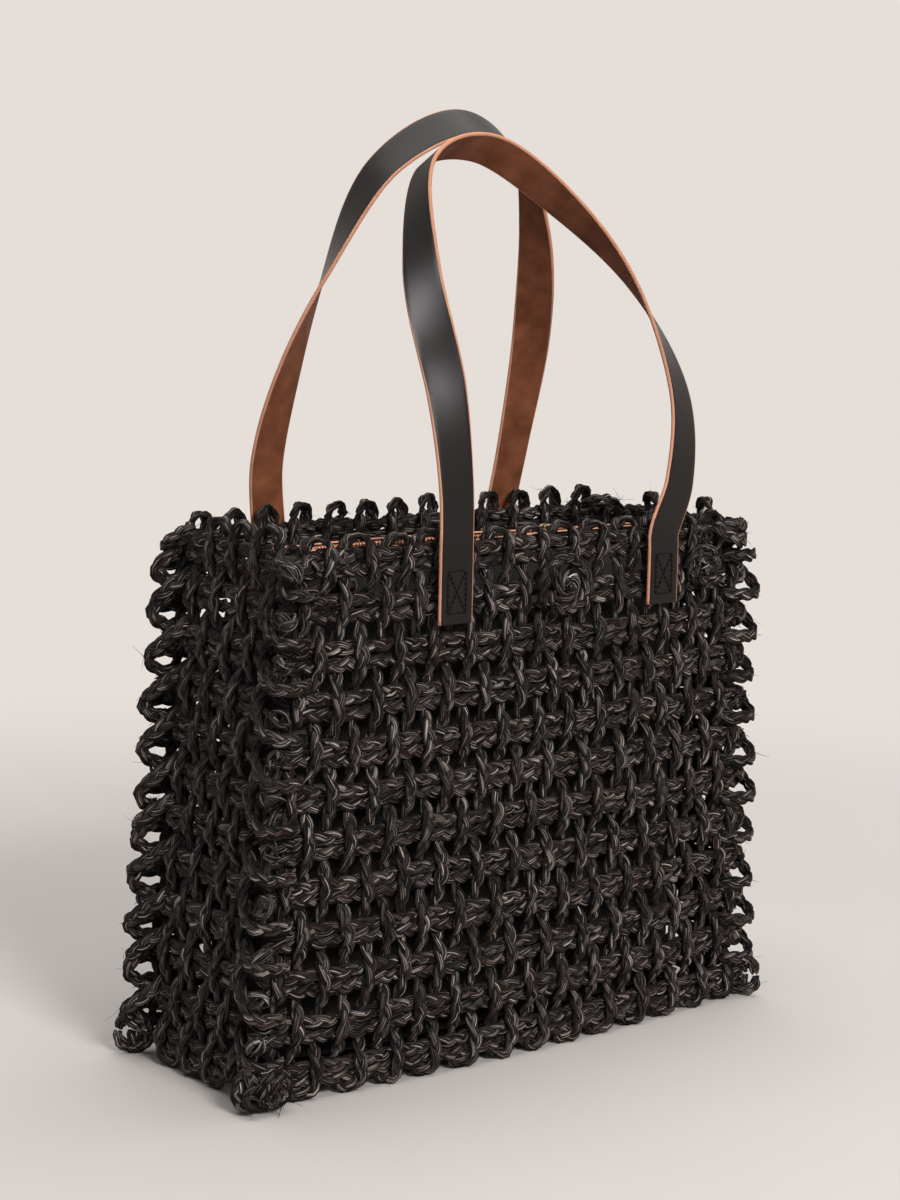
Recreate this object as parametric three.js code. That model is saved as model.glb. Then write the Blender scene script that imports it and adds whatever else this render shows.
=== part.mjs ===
// Woven grass tote bag with two leather strap handles and a zipped cloth pouch inside.
// Millimetres, +Z up. The origin is on the floor under the middle of the bag; the front faces -Y.
// Each woven panel is one long braided cord laid back and forth in pairs of runs, and a second
// cord that climbs and dives through it, over one pair and under the next.
import * as THREE from 'three';

// Driving dimensions of the woven box.
const BAG = {
  height: 330, baseWidth: 404, mouthWidth: 366, depth: 138, mouthLean: 6,
  frontBulge: 12, backBulge: 12, bulgeFade: 0.6, bulgeFacets: 4, panelGap: 0.5, baseTuck: 0.7,
};
const WEFT = {
  braidWidth: 7.6, thickness: 4.4, pairGap: 0.8, rows: 12, baseRows: 4, topRow: 315, turnAngle: 30,
};
const WARP = {
  width: 7, flat: 0.9, ridge: 1.8, wallCount: 27, sideCount: 7, edgeMargin: 16, turnClear: 0.15,
  turnDepth: 0.45, shoulder: 0.55, archLead: 0.28, archDepth: 0.15,
};
const LACE = { width: 4, flat: 1.4, ridge: 2.2, clear: 0.35 };
const SEAT = 0.3;
const MITRE_LIMIT = 0.68;

// Driving dimensions of the straps, which lean towards each other over the mouth.
const STRAP = {
  width: 25.4, thickness: 2.5, footLength: 36, footTop: 312, meetingGap: 0.6, apexReach: 14.5,
  apexTurn: 130, turnEasing: 1.4, leanEasing: 1.2, steps: 34, straight: 8,
};
const STITCH = { width: 14.5, height: 26, thread: 0.9, proud: 0.6, belowTop: 17 };
// Outline of each strap seen from the front, as X and Z from foot to foot.
const FRONT_FEET = [-66, 101.5];
const FRONT_OUTLINE = [[-62, 355], [-60, 410], [-65, 485], [-48, 545], [-2, 556], [57, 522],
  [105, 471], [129, 405], [119, 352]];
const BACK_FEET = [-95, 95];
const BACK_OUTLINE = [[-101, 360], [-95, 415], [-80, 473], [-50, 543], [6, 572], [56, 553],
  [82, 508], [97, 440], [98, 365]];

// Driving dimensions of the pouch and its zip.
const POUCH = {
  wall: 2, sideRoom: 9.9, topInset: 4, topHeight: 313.5,
  sideSteps: 12, cornerPower: 6, waist: 0.35, shoulder: 0.88, clothEase: 1,
};
const ZIP = {
  closedShare: 0.419, openReach: 13, lensPower: 0.8, closedHalfGap: 0.4, facets: 14,
  rowTop: 315, endInset: 8, tape: 1, tapeHeight: 17, tapeTop: 314, leather: 2.2,
  leatherTop: 316.5, leatherHeight: 17.5,
};
const TOOTH = { depth: 2.6, height: 3.4, pitch: 7, crownAt: 0.2, rootAt: 0.8, rootReach: 0.4 };
const SLIDER = {
  length: 12, width: 7.6, plate: 1.8, bridgeHeight: 3.4, bridgeWidth: 2.2, bridgeLength: 5,
  leftEndWidth: 0.7, rightEndWidth: 0.8, endRidge: 0.1,
};
const PULLER = { length: 21, width: 5.4, thickness: 1.4, eye: 2.6, hingeClear: 0.4, axisShare: 0.6 };
const STOP = { length: 4, width: 5, height: 3 };
const TAB = { thickness: 2.4, height: 20, row: 10, reach: 27, bend: 4, foot: 10 };
const ROLL = {
  outerRadius: 5, thickness: 1.8, length: 20, fromPouchEnd: 24, row: 10.5, nested: 5.3, opening: 60,
};

// Driving dimensions of the coils of spare cord on the front.
const COIL = { cord: 5.2, pitch: 6, sides: 6, stepsPerTurn: 24, innerRadius: 3.6 };
const COILS = [
  { name: 'front_rosette', corner: 0, across: 20, belowTopRow: 22, turns: 2.6, sunk: 0 },
  { name: 'upper_right_coil', corner: 1, across: -43, belowTopRow: 19, turns: 1.6, sunk: 1.2 },
  { name: 'lower_left_coil', corner: -1, across: 10.2, belowTopRow: 0, turns: 1.25, sunk: 0 },
];

const FINISH = {
  cord: { color: 0x1d1a19, roughness: 0.62, metalness: 0 },
  strap: { color: 0x2f2522, roughness: 0.42, metalness: 0 },
  trim: { color: 0x2f2522, roughness: 0.5, metalness: 0 },
  thread: { color: 0x0c0b0b, roughness: 0.8, metalness: 0 },
  cloth: { color: 0x3a2c25, roughness: 0.95, metalness: 0 },
  tape: { color: 0x8d8780, roughness: 0.9, metalness: 0 },
  teeth: { color: 0x8a4b33, roughness: 0.35, metalness: 0.8 },
  metal: { color: 0x9a7a4c, roughness: 0.35, metalness: 0.9 },
};

// Sizes that follow from the ones above.
const pairHalf = (WEFT.braidWidth + WEFT.pairGap) / 2;
const pairEdge = pairHalf + WEFT.braidWidth / 2;
const firstRow = WARP.width + WARP.turnClear + pairEdge + SEAT;
const rowPitch = (WEFT.topRow - firstRow) / (WEFT.rows - 1);
const weaveDepth = (pitch) => Math.max(
  (WEFT.thickness / 2 + SEAT + WARP.ridge) / (1 - (2 * pairHalf) / pitch),
  (SEAT + WARP.ridge) / (1 - (2 * pairEdge) / pitch),
);
const wallDepth = weaveDepth(rowPitch);
const wallOut = wallDepth + WARP.ridge;
const wallIn = wallDepth + WARP.flat;
const wallInner = BAG.depth / 2 - wallOut - wallIn;
const sideHalf = wallInner - BAG.panelGap;
const baseHalfDepth = wallInner + BAG.baseTuck;
const baseRowPitch = (2 * (baseHalfDepth - firstRow)) / (WEFT.baseRows - 1);
const baseDepth = weaveDepth(baseRowPitch);
const baseOut = baseDepth + WARP.ridge;
const baseTop = baseOut + baseDepth + WARP.flat;

const vec = (x, y, z) => new THREE.Vector3(x, y, z);
const mix = (a, b, t) => a + (b - a) * t;
const clamp01 = (t) => Math.min(Math.max(t, 0), 1);
const smooth = (t) => clamp01(t) ** 2 * (3 - 2 * clamp01(t));

const model = new THREE.Group();

function addPiece(name, geometry, finish, parent = model) {
  const mesh = new THREE.Mesh(geometry, new THREE.MeshStandardMaterial(finish));
  mesh.name = name;
  parent.add(mesh);
  return mesh;
}

function buildGeometry(points, faces) {
  const geometry = new THREE.BufferGeometry();
  const numbers = points.flatMap((point) => point.toArray());
  geometry.setAttribute('position', new THREE.Float32BufferAttribute(numbers, 3));
  geometry.setIndex(faces.flat());
  geometry.computeVertexNormals();
  return geometry;
}

// Closes a run of rings, each with the same number of points, into one solid body.
function skinRings(rings) {
  const sides = rings[0].length;
  const points = rings.flat();
  const faces = [];
  for (let ring = 0; ring + 1 < rings.length; ring += 1) {
    for (let side = 0; side < sides; side += 1) {
      const a = ring * sides + side;
      const b = ring * sides + ((side + 1) % sides);
      faces.push([a, b, b + sides], [a, b + sides, a + sides]);
    }
  }
  const last = (rings.length - 1) * sides;
  for (let side = 1; side + 1 < sides; side += 1) {
    faces.push([0, side + 1, side]);
    faces.push([last, last + side, last + side + 1]);
  }
  return buildGeometry(points, faces);
}

// Cross-sections of a cord, across its width and along its thickness.
const diamondSection = (width, thickness) =>
  [[-width / 2, 0], [0, -thickness / 2], [width / 2, 0], [0, thickness / 2]];
const ridgeSection = (width, flat, ridge) => [[-width / 2, -flat], [width / 2, -flat], [0, ridge]];
const boxSection = (width, thickness) => [
  [-width / 2, -thickness / 2], [width / 2, -thickness / 2],
  [width / 2, thickness / 2], [-width / 2, thickness / 2],
];

// Sweeps a section along a path. Each stop holds a point and the direction that the thickness faces.
function sweep(stops, section) {
  const rings = stops.map((stop, index) => {
    const before = stops[Math.max(index - 1, 0)].point;
    const after = stops[Math.min(index + 1, stops.length - 1)].point;
    const arriving = stop.point.clone().sub(before).normalize();
    const leaving = after.clone().sub(stop.point).normalize();
    const along = arriving.clone().add(leaving).normalize();
    const across = stop.facing.clone().cross(along).normalize();
    const through = along.clone().cross(across).normalize();
    const step = index === 0 ? leaving : arriving;
    const flatStep = step.clone().addScaledVector(through, -step.dot(through)).normalize();
    const mitre = 1 / Math.max(Math.abs(flatStep.dot(along)), MITRE_LIMIT);
    return section.map(([w, t]) => {
      const corner = stop.point.clone().addScaledVector(across, w * mitre);
      return corner.addScaledVector(through, t);
    });
  });
  return skinRings(rings);
}

// The woven box: half its width at a height, and the outward belly of a wall.
const halfWidth = (z) => mix(BAG.baseWidth, BAG.mouthWidth, z / BAG.height) / 2;
const leanAt = (z) => BAG.mouthLean * (z / BAG.height) ** 2;
const bellyKnot = (knot) => -1 + (2 * knot) / BAG.bulgeFacets;
const bellyKnots = (half) =>
  Array.from({ length: BAG.bulgeFacets - 1 }, (_, knot) => bellyKnot(knot + 1) * half);
function bellyAt(bulge, u, z) {
  const along = clamp01((u + 1) / 2) * BAG.bulgeFacets;
  const knot = Math.min(Math.floor(along), BAG.bulgeFacets - 1);
  const across = mix(1 - bellyKnot(knot) ** 2, 1 - bellyKnot(knot + 1) ** 2, along - knot);
  return bulge * across * (1 - BAG.bulgeFade * (z / BAG.height) ** 2);
}

// A panel maps its own a (across) and b (up), with an outward offset, to a place in space.
function wallPanel(sign, bulge) {
  const half = BAG.baseWidth / 2;
  return {
    half, knots: bellyKnots(half), low: 0, pitch: rowPitch, depth: wallDepth, facing: vec(0, sign, 0),
    rows: Array.from({ length: WEFT.rows }, (_, row) => firstRow + row * rowPitch),
    place: (a, b, out) => {
      const u = a / half;
      const y = BAG.depth / 2 - wallOut + bellyAt(bulge, u, b) + out;
      return vec(leanAt(b) + u * halfWidth(b), sign * y, b);
    },
  };
}

// A place on a wall given by its real X and Z.
const onWall = (wall, x, z, out) => wall.place(((x - leanAt(z)) / halfWidth(z)) * wall.half, z, out);

function sidePanel(sign) {
  return {
    half: sideHalf, knots: [], low: 0, pitch: rowPitch, depth: wallDepth, facing: vec(sign, 0, 0),
    rows: Array.from({ length: WEFT.rows }, (_, row) => firstRow + row * rowPitch),
    place: (a, b, out) => vec(leanAt(b) + sign * (halfWidth(b) - wallOut + out), a, b),
  };
}

function basePanel() {
  const half = BAG.baseWidth / 2 - wallOut - wallIn - BAG.panelGap;
  const nearRow = -baseHalfDepth + firstRow;
  return {
    half, knots: bellyKnots(BAG.baseWidth / 2), low: -baseHalfDepth, pitch: baseRowPitch,
    depth: baseDepth, facing: vec(0, 0, -1),
    rows: Array.from({ length: WEFT.baseRows }, (_, row) => nearRow + row * baseRowPitch),
    place: (a, b, out) => {
      const bulge = b < 0 ? BAG.frontBulge : BAG.backBulge;
      const stretch = 1 + bellyAt(bulge, a / (BAG.baseWidth / 2), 0) / baseHalfDepth;
      return vec(a, b * stretch, baseOut - out);
    },
  };
}

// The weft: two touching runs a row, a tight turn at one edge, and a wide one up to the next row.
function weftStops(panel) {
  const stops = [];
  const stopAt = (a, b) => stops.push({ point: panel.place(a, b, 0), facing: panel.facing });
  const turnReach = panel.half - WEFT.braidWidth / 2;
  const wideRadius = panel.pitch / 2 - pairHalf;
  const wideStart = turnReach - wideRadius;
  panel.rows.forEach((row, index) => {
    const start = index === 0 ? -turnReach : -wideStart;
    const end = index === panel.rows.length - 1 ? -turnReach : -wideStart;
    for (const a of [start, ...panel.knots, turnReach]) {
      stopAt(a, row - pairHalf);
    }
    for (const a of [turnReach, ...panel.knots.toReversed(), end]) {
      stopAt(a, row + pairHalf);
    }
    if (index < panel.rows.length - 1) {
      for (const turn of [-WEFT.turnAngle, WEFT.turnAngle]) {
        const angle = THREE.MathUtils.degToRad(turn);
        const a = -wideStart - wideRadius * Math.cos(angle);
        stopAt(a, row + panel.pitch / 2 + wideRadius * Math.sin(angle));
      }
    }
  });
  return stops;
}

// The warp: each run crosses the rows on alternate faces, with an arch at the rim or far edge
// between every two runs and a flat turn at the near edge between the next two.
function warpStops(panel, count, farReach) {
  const stops = [];
  const first = -(panel.half - WARP.edgeMargin);
  const pitch = (-2 * first) / (count - 1);
  const nearTurn = panel.low + WARP.width / 2 + WARP.turnClear;
  const stopAt = (a, b, out) => stops.push({ point: panel.place(a, b, out), facing: panel.facing });
  const lastRow = panel.rows[panel.rows.length - 1];
  const shoulder = mix(lastRow, farReach, WARP.shoulder);
  for (let run = 0; run < count; run += 1) {
    const a = first + run * pitch;
    const goingUp = run % 2 === 0;
    const order = panel.rows.map((row, index) => ({ row, side: (index + run) % 2 === 0 ? 1 : -1 }));
    if (!goingUp) {
      order.reverse();
    }
    const entry = order[0];
    const exit = order[order.length - 1];
    const entryTurn = goingUp ? nearTurn : shoulder;
    const exitTurn = goingUp ? shoulder : nearTurn;
    stopAt(a, entryTurn, entry.side * panel.depth * WARP.turnDepth);
    for (const crossing of order) {
      stopAt(a, crossing.row, crossing.side * panel.depth);
    }
    stopAt(a, exitTurn, exit.side * panel.depth * WARP.turnDepth);
    if (goingUp && run + 1 < count) {
      const archOut = exit.side * panel.depth * WARP.archDepth;
      stopAt(a + pitch * WARP.archLead, farReach, archOut);
      stopAt(a + pitch * (1 - WARP.archLead), farReach, -archOut);
    }
  }
  return stops;
}

function addPanel(name, panel, warpCount, farReach) {
  const weft = sweep(weftStops(panel), diamondSection(WEFT.braidWidth, WEFT.thickness));
  addPiece(`${name}_weft_cord`, weft, FINISH.cord);
  const section = ridgeSection(WARP.width, WARP.flat, WARP.ridge);
  const warp = sweep(warpStops(panel, warpCount, farReach), section);
  addPiece(`${name}_warp_cord`, warp, FINISH.cord);
}

const front = wallPanel(-1, BAG.frontBulge);
const back = wallPanel(1, BAG.backBulge);
const left = sidePanel(-1);
const right = sidePanel(1);
const base = basePanel();

addPanel('front', front, WARP.wallCount, BAG.height);
addPanel('back', back, WARP.wallCount, BAG.height);
addPanel('left', left, WARP.sideCount, BAG.height);
addPanel('right', right, WARP.sideCount, BAG.height);
addPanel('base', base, WARP.wallCount, baseHalfDepth - WARP.width / 2);

// A lacing cord winds up each upright corner: in through a gap of the wall, out through a gap of
// the side, and round the outside of the corner up to the next gap.
function laceStops(wall, side, wallSign, sideSign) {
  const wallPitch = (2 * (wall.half - WARP.edgeMargin)) / (WARP.wallCount - 1);
  const sidePitch = (2 * (side.half - WARP.edgeMargin)) / (WARP.sideCount - 1);
  const wallHole = sideSign * (wall.half - WARP.edgeMargin - wallPitch / 2);
  const sideHole = wallSign * (side.half - WARP.edgeMargin - sidePitch / 2);
  const outside = wallOut + LACE.ridge + LACE.clear;
  const inside = -(wallIn + LACE.ridge + LACE.clear);
  const stops = [];
  for (let gap = 0; gap + 1 < WEFT.rows; gap += 1) {
    const z = firstRow + (gap + 0.5) * rowPitch;
    const wallOutside = wall.place(wallHole, z, outside);
    const wallInside = wall.place(wallHole, z, inside);
    const sideInside = side.place(sideHole, z, inside);
    const sideOutside = side.place(sideHole, z, outside);
    const corner = vec(sideOutside.x, wallOutside.y, z + rowPitch / 2);
    const up = vec(0, 0, 1);
    stops.push({ point: wallOutside, facing: up }, { point: wallInside, facing: up });
    stops.push({ point: sideInside, facing: up }, { point: sideOutside, facing: up });
    if (gap + 2 < WEFT.rows) {
      stops.push({ point: corner, facing: up });
    }
  }
  return stops;
}

for (const [wallName, wall, wallSign] of [['front', front, -1], ['back', back, 1]]) {
  for (const [sideName, side, sideSign] of [['left', left, -1], ['right', right, 1]]) {
    const stops = laceStops(wall, side, wallSign, sideSign);
    const lace = sweep(stops, ridgeSection(LACE.width, LACE.flat, LACE.ridge));
    addPiece(`${wallName}_${sideName}_corner_lace`, lace, FINISH.cord);
  }
}

// Flat spiral coils of spare cord tied on the front. One keeps its distance across from the middle of
// the wall or from one upright corner, and hangs below the top row or stands on the floor.
function coilMiddle(coil) {
  const standing = COIL.innerRadius + coil.turns * COIL.pitch + COIL.cord / 2 + SEAT;
  const z = coil.belowTopRow > 0 ? WEFT.topRow - coil.belowTopRow : standing;
  const x = coil.corner * halfWidth(z) + coil.across;
  return onWall(front, x, z, wallOut + SEAT + COIL.cord / 2 - coil.sunk);
}

function coilPoints(coil) {
  const steps = Math.round(coil.turns * COIL.stepsPerTurn);
  const middle = coilMiddle(coil);
  return Array.from({ length: steps + 1 }, (_, step) => {
    const turn = step / COIL.stepsPerTurn;
    const angle = turn * 2 * Math.PI;
    const radius = COIL.innerRadius + turn * COIL.pitch;
    return vec(middle.x + radius * Math.cos(angle), middle.y, middle.z + radius * Math.sin(angle));
  });
}

function leastGap(points, skipped, diameter) {
  let least = Infinity;
  points.forEach((point, index) => {
    for (let other = index + skipped; other < points.length; other += 1) {
      least = Math.min(least, point.distanceTo(points[other]) - diameter);
    }
  });
  return least;
}

for (const coil of COILS) {
  const points = coilPoints(coil);
  const section = Array.from({ length: COIL.sides }, (_, side) => {
    const angle = (side / COIL.sides) * 2 * Math.PI;
    return [Math.cos(angle) * COIL.cord / 2, Math.sin(angle) * COIL.cord / 2];
  });
  const stops = points.map((point) => ({ point, facing: front.facing }));
  const gap = leastGap(points, COIL.stepsPerTurn / 2, COIL.cord);
  console.log(`${coil.name}: least gap to itself ${gap.toFixed(2)} mm`);
  addPiece(coil.name, sweep(stops, section), FINISH.cord);
}

// Each strap is sewn flat on the outside of its wall, turns as it rises and leans over the mouth.
function strapStops(outline, feet, wall, sign) {
  const seated = wallOut + SEAT + STRAP.thickness / 2;
  const footEdges = feet.flatMap((x) => [x - STRAP.width / 2, x + STRAP.width / 2]);
  const footHeights = [STRAP.footTop - STRAP.footLength, STRAP.footTop];
  const footCorners = footEdges.flatMap((x) => footHeights.map((z) => onWall(wall, x, z, seated)));
  const footY = sign * Math.max(...footCorners.map((corner) => Math.abs(corner.y)));
  const start = STRAP.footTop + STRAP.meetingGap;
  const bend = start + STRAP.straight;
  const route = [[feet[0], start], [feet[0], bend], ...outline, [feet[1], bend], [feet[1], start]];
  const curve = new THREE.CatmullRomCurve3(route.map(([x, z]) => vec(x, 0, z)), false, 'centripetal');
  const apexHeight = Math.max(...outline.map((point) => point[1]));
  const upright = vec(0, sign, 0);
  const stops = Array.from({ length: STRAP.steps + 1 }, (_, step) => {
    const t = step / STRAP.steps;
    const point = curve.getPointAt(t);
    const rise = clamp01((point.z - bend) / (apexHeight - bend)) ** STRAP.leanEasing;
    const y = mix(footY, sign * STRAP.apexReach, rise);
    const tangent = curve.getTangentAt(t);
    const outward = vec(-tangent.z, 0, tangent.x);
    const share = 1 - Math.abs(2 * t - 1);
    const turn = THREE.MathUtils.degToRad(STRAP.apexTurn) * smooth(share) ** STRAP.turnEasing;
    const facing = upright.clone().multiplyScalar(Math.cos(turn)).addScaledVector(outward, Math.sin(turn));
    return { point: vec(point.x, y, point.z), facing };
  });
  const inner = stops.slice(1, -1).filter((stop) => stop.point.z > bend);
  const ends = feet.map((x) => [start, bend].map((z) => ({ point: vec(x, footY, z), facing: upright })));
  return [...ends[0], ...inner, ...ends[1].toReversed()];
}

function stitchShape() {
  const halfW = STITCH.width / 2;
  const halfH = STITCH.height / 2;
  const shape = new THREE.Shape();
  shape.moveTo(-halfW, -halfH).lineTo(halfW, -halfH).lineTo(halfW, halfH).lineTo(-halfW, halfH).closePath();
  const slope = Math.hypot(halfW, halfH);
  const sideways = (STITCH.thread / 2) * (slope / halfH);
  const upright = (STITCH.thread / 2) * (slope / halfW);
  const inW = halfW - STITCH.thread;
  const inH = halfH - STITCH.thread;
  for (const sign of [-1, 1]) {
    const wide = inH * (halfW / halfH) - sideways;
    const tall = inW * (halfH / halfW) - upright;
    const flatHole = new THREE.Path();
    flatHole.moveTo(0, sign * upright).lineTo(wide, sign * inH).lineTo(-wide, sign * inH).closePath();
    const sideHole = new THREE.Path();
    sideHole.moveTo(sign * sideways, 0).lineTo(sign * inW, tall).lineTo(sign * inW, -tall).closePath();
    shape.holes.push(flatHole, sideHole);
  }
  return shape;
}

function addStrap(name, outline, feet, wall, sign) {
  const stops = strapStops(outline, feet, wall, sign);
  addPiece(name, sweep(stops, boxSection(STRAP.width, STRAP.thickness)), FINISH.strap);
  const ends = [['left', feet[0], stops[0]], ['right', feet[1], stops[stops.length - 1]]];
  for (const [endName, x, stop] of ends) {
    const foot = new THREE.BoxGeometry(STRAP.width, STRAP.thickness, STRAP.footLength);
    const footMesh = addPiece(`${name}_${endName}_foot`, foot, FINISH.strap);
    footMesh.position.set(x, stop.point.y, STRAP.footTop - STRAP.footLength / 2);
    const seam = new THREE.ExtrudeGeometry(stitchShape(), { depth: STITCH.proud, bevelEnabled: false });
    seam.rotateX(Math.PI / 2);
    const seamMesh = addPiece(`${name}_${endName}_stitches`, seam, FINISH.thread);
    const seamY = sign > 0 ? STRAP.thickness / 2 + SEAT + STITCH.proud : -STRAP.thickness / 2 - SEAT;
    seamMesh.position.set(x, stop.point.y + seamY, STRAP.footTop - STITCH.belowTop);
  }
}

addStrap('front_handle', FRONT_OUTLINE, FRONT_FEET, front, -1);
addStrap('back_handle', BACK_OUTLINE, BACK_FEET, back, 1);

// The pouch ends short of the side walls by the foot of a leather tab, and the zip ends short of the pouch.
const tabLow = firstRow + TAB.row * rowPitch;
const tabOuter = halfWidth(tabLow) - wallOut - wallIn - SEAT;
const pouchHalf = tabOuter - TAB.foot;
const pouchTopHalf = pouchHalf - POUCH.topInset;
const zipHalf = pouchTopHalf - ZIP.endInset;
const closedFrom = zipHalf * ZIP.closedShare;

// The zip is closed to the right of the slider and parted in a long lens to the left of it.
const zipKnot = (knot) => -zipHalf + (2 * zipHalf * knot) / ZIP.facets;
function zipLens(x) {
  const t = clamp01((closedFrom - x) / (closedFrom + zipHalf));
  return ZIP.closedHalfGap + ZIP.openReach * Math.sin(Math.PI * t) ** ZIP.lensPower;
}
function zipHalfGap(x) {
  const along = clamp01((x + zipHalf) / (2 * zipHalf)) * ZIP.facets;
  const knot = Math.min(Math.floor(along), ZIP.facets - 1);
  return mix(zipLens(zipKnot(knot)), zipLens(zipKnot(knot + 1)), along - knot);
}
const tapeInner = (x) => zipHalfGap(x) + TOOTH.depth + SEAT;
const leatherInner = (x) => tapeInner(x) + ZIP.tape + SEAT;
const clothInner = (x) => leatherInner(x) + ZIP.leather + POUCH.clothEase;

// An upright ribbon that follows one edge of the zip.
function ribbon(inner, thickness, top, height, side) {
  const rings = [];
  for (let knot = 0; knot <= ZIP.facets; knot += 1) {
    const x = zipKnot(knot);
    const near = side * inner(x);
    const far = side * (inner(x) + thickness);
    const low = top - height;
    const ring = [vec(x, near, low), vec(x, far, low), vec(x, far, top), vec(x, near, top)];
    rings.push(side > 0 ? ring : ring.reverse());
  }
  return skinRings(rings);
}

// A row of teeth: a low rib that carries one square tooth after another towards the opening.
function toothRow(side) {
  const rings = [];
  const top = ZIP.rowTop;
  const low = top - TOOTH.height;
  const half = zipHalf - STOP.length - SEAT;
  const teeth = Math.floor((2 * half) / TOOTH.pitch);
  for (let tooth = 0; tooth < teeth; tooth += 1) {
    for (const [share, reach] of [[TOOTH.crownAt, 1], [TOOTH.rootAt, TOOTH.rootReach]]) {
      const x = -half + (tooth + share) * TOOTH.pitch;
      const far = zipHalfGap(x) + TOOTH.depth;
      const near = side * (far - TOOTH.depth * reach);
      const ring = [vec(x, near, low), vec(x, side * far, (low + top) / 2), vec(x, near, top)];
      rings.push(side > 0 ? ring : ring.reverse());
    }
  }
  return skinRings(rings);
}

const zip = new THREE.Group();
zip.position.x = leanAt(ZIP.rowTop);
model.add(zip);
for (const [name, side] of [['front', -1], ['back', 1]]) {
  addPiece(`zip_${name}_teeth`, toothRow(side), FINISH.teeth, zip);
  const tape = ribbon(tapeInner, ZIP.tape, ZIP.tapeTop, ZIP.tapeHeight, side);
  addPiece(`zip_${name}_tape`, tape, FINISH.tape, zip);
  const binding = ribbon(leatherInner, ZIP.leather, ZIP.leatherTop, ZIP.leatherHeight, side);
  addPiece(`zip_${name}_binding`, binding, FINISH.trim, zip);
}

for (const [name, sign] of [['left', -1], ['right', 1]]) {
  const block = new THREE.BoxGeometry(STOP.length, STOP.width, STOP.height);
  const stop = addPiece(`zip_${name}_stop`, block, FINISH.metal, zip);
  stop.position.set(sign * (zipHalf - STOP.length / 2), 0, ZIP.rowTop - STOP.height / 2);
}

// The slider rides on the rows between the two leather edges, with a bridge for its pull tab.
const sliderBottom = ZIP.rowTop + SEAT;
function sliderRing(x, widthShare, bridgeShare) {
  const halfPlate = (SLIDER.width / 2) * widthShare;
  const halfBridge = SLIDER.bridgeWidth / 2;
  const top = SLIDER.plate + SLIDER.bridgeHeight * bridgeShare;
  const outline = [
    [-halfPlate, 0], [halfPlate, 0], [halfPlate, SLIDER.plate], [halfBridge, SLIDER.plate],
    [halfBridge, top], [-halfBridge, top], [-halfBridge, SLIDER.plate], [-halfPlate, SLIDER.plate],
  ];
  return outline.map(([y, z]) => vec(x, y, z));
}
const sliderRings = [
  sliderRing(-SLIDER.length / 2, SLIDER.leftEndWidth, SLIDER.endRidge),
  sliderRing(-SLIDER.bridgeLength / 2, 1, 1),
  sliderRing(SLIDER.bridgeLength / 2, 1, 1),
  sliderRing(SLIDER.length / 2, SLIDER.rightEndWidth, SLIDER.endRidge),
];
const slider = addPiece('zip_slider', skinRings(sliderRings), FINISH.metal, zip);
slider.position.set(closedFrom, 0, sliderBottom);

// The pull tab is a flat plate whose fork straddles the bridge of the slider.
function pullerShape() {
  const half = PULLER.width / 2;
  const slot = SLIDER.bridgeWidth / 2 + PULLER.hingeClear;
  const slotEnd = SLIDER.length / 2 - PULLER.hingeClear;
  const neck = PULLER.thickness / 2;
  const shape = new THREE.Shape();
  shape.moveTo(-neck, -half).lineTo(PULLER.length - half, -half);
  shape.absarc(PULLER.length - half, 0, half, -Math.PI / 2, Math.PI / 2, false);
  shape.lineTo(-neck, half).lineTo(-neck, slot).lineTo(slotEnd, slot);
  shape.lineTo(slotEnd, -slot).lineTo(-neck, -slot).closePath();
  const eye = new THREE.Path();
  eye.absarc(PULLER.length - half, 0, PULLER.eye / 2, 0, 2 * Math.PI, true);
  shape.holes.push(eye);
  return shape;
}
const pullerPlate = new THREE.ExtrudeGeometry(pullerShape(), {
  depth: PULLER.thickness, bevelEnabled: false, curveSegments: 5,
});
pullerPlate.translate(0, 0, -PULLER.thickness / 2);
const puller = addPiece('zip_puller', pullerPlate, FINISH.metal, zip);
const pullerHeight = sliderBottom + SLIDER.plate + SLIDER.bridgeHeight * PULLER.axisShare;
puller.position.set(closedFrom, 0, pullerHeight);

// The cloth pouch: a thin open shell that rests on the base and closes in to the zip at its top.
const pouchFloor = baseTop + SEAT;
const pouchLevel = (share) => mix(pouchFloor, POUCH.topHeight, share);
function pouchRing(z, inset) {
  const shoulder = pouchLevel(POUCH.shoulder);
  const rise = clamp01((z - shoulder) / (POUCH.topHeight - shoulder));
  const halfLength = mix(pouchHalf, pouchTopHalf, rise) - inset;
  const points = [];
  const reach = (x) => {
    const across = clamp01(1 - Math.abs(x / halfLength) ** POUCH.cornerPower);
    const widest = wallInner - POUCH.sideRoom - POUCH.wall;
    const body = mix(clothInner(zipHalf), widest, Math.sqrt(across));
    const mouth = clothInner(Math.min(Math.abs(x), zipHalf) * Math.sign(x));
    return mix(body, mouth, rise) + POUCH.wall - inset;
  };
  for (const side of [-1, 1]) {
    for (let step = 0; step <= POUCH.sideSteps; step += 1) {
      const x = side * halfLength * Math.cos((Math.PI * step) / POUCH.sideSteps);
      points.push(vec(x + leanAt(z), side * reach(x), z));
    }
  }
  return points;
}
const pouchLevels = [0, POUCH.waist, POUCH.shoulder, 1].map(pouchLevel);
const pouchOutside = pouchLevels.map((z) => pouchRing(z, 0));
const pouchInside = pouchLevels.map((z, index) => pouchRing(index === 0 ? z + POUCH.wall : z, POUCH.wall));
addPiece('pouch', skinRings([...pouchOutside, ...pouchInside.reverse()]), FINISH.cloth);

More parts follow.
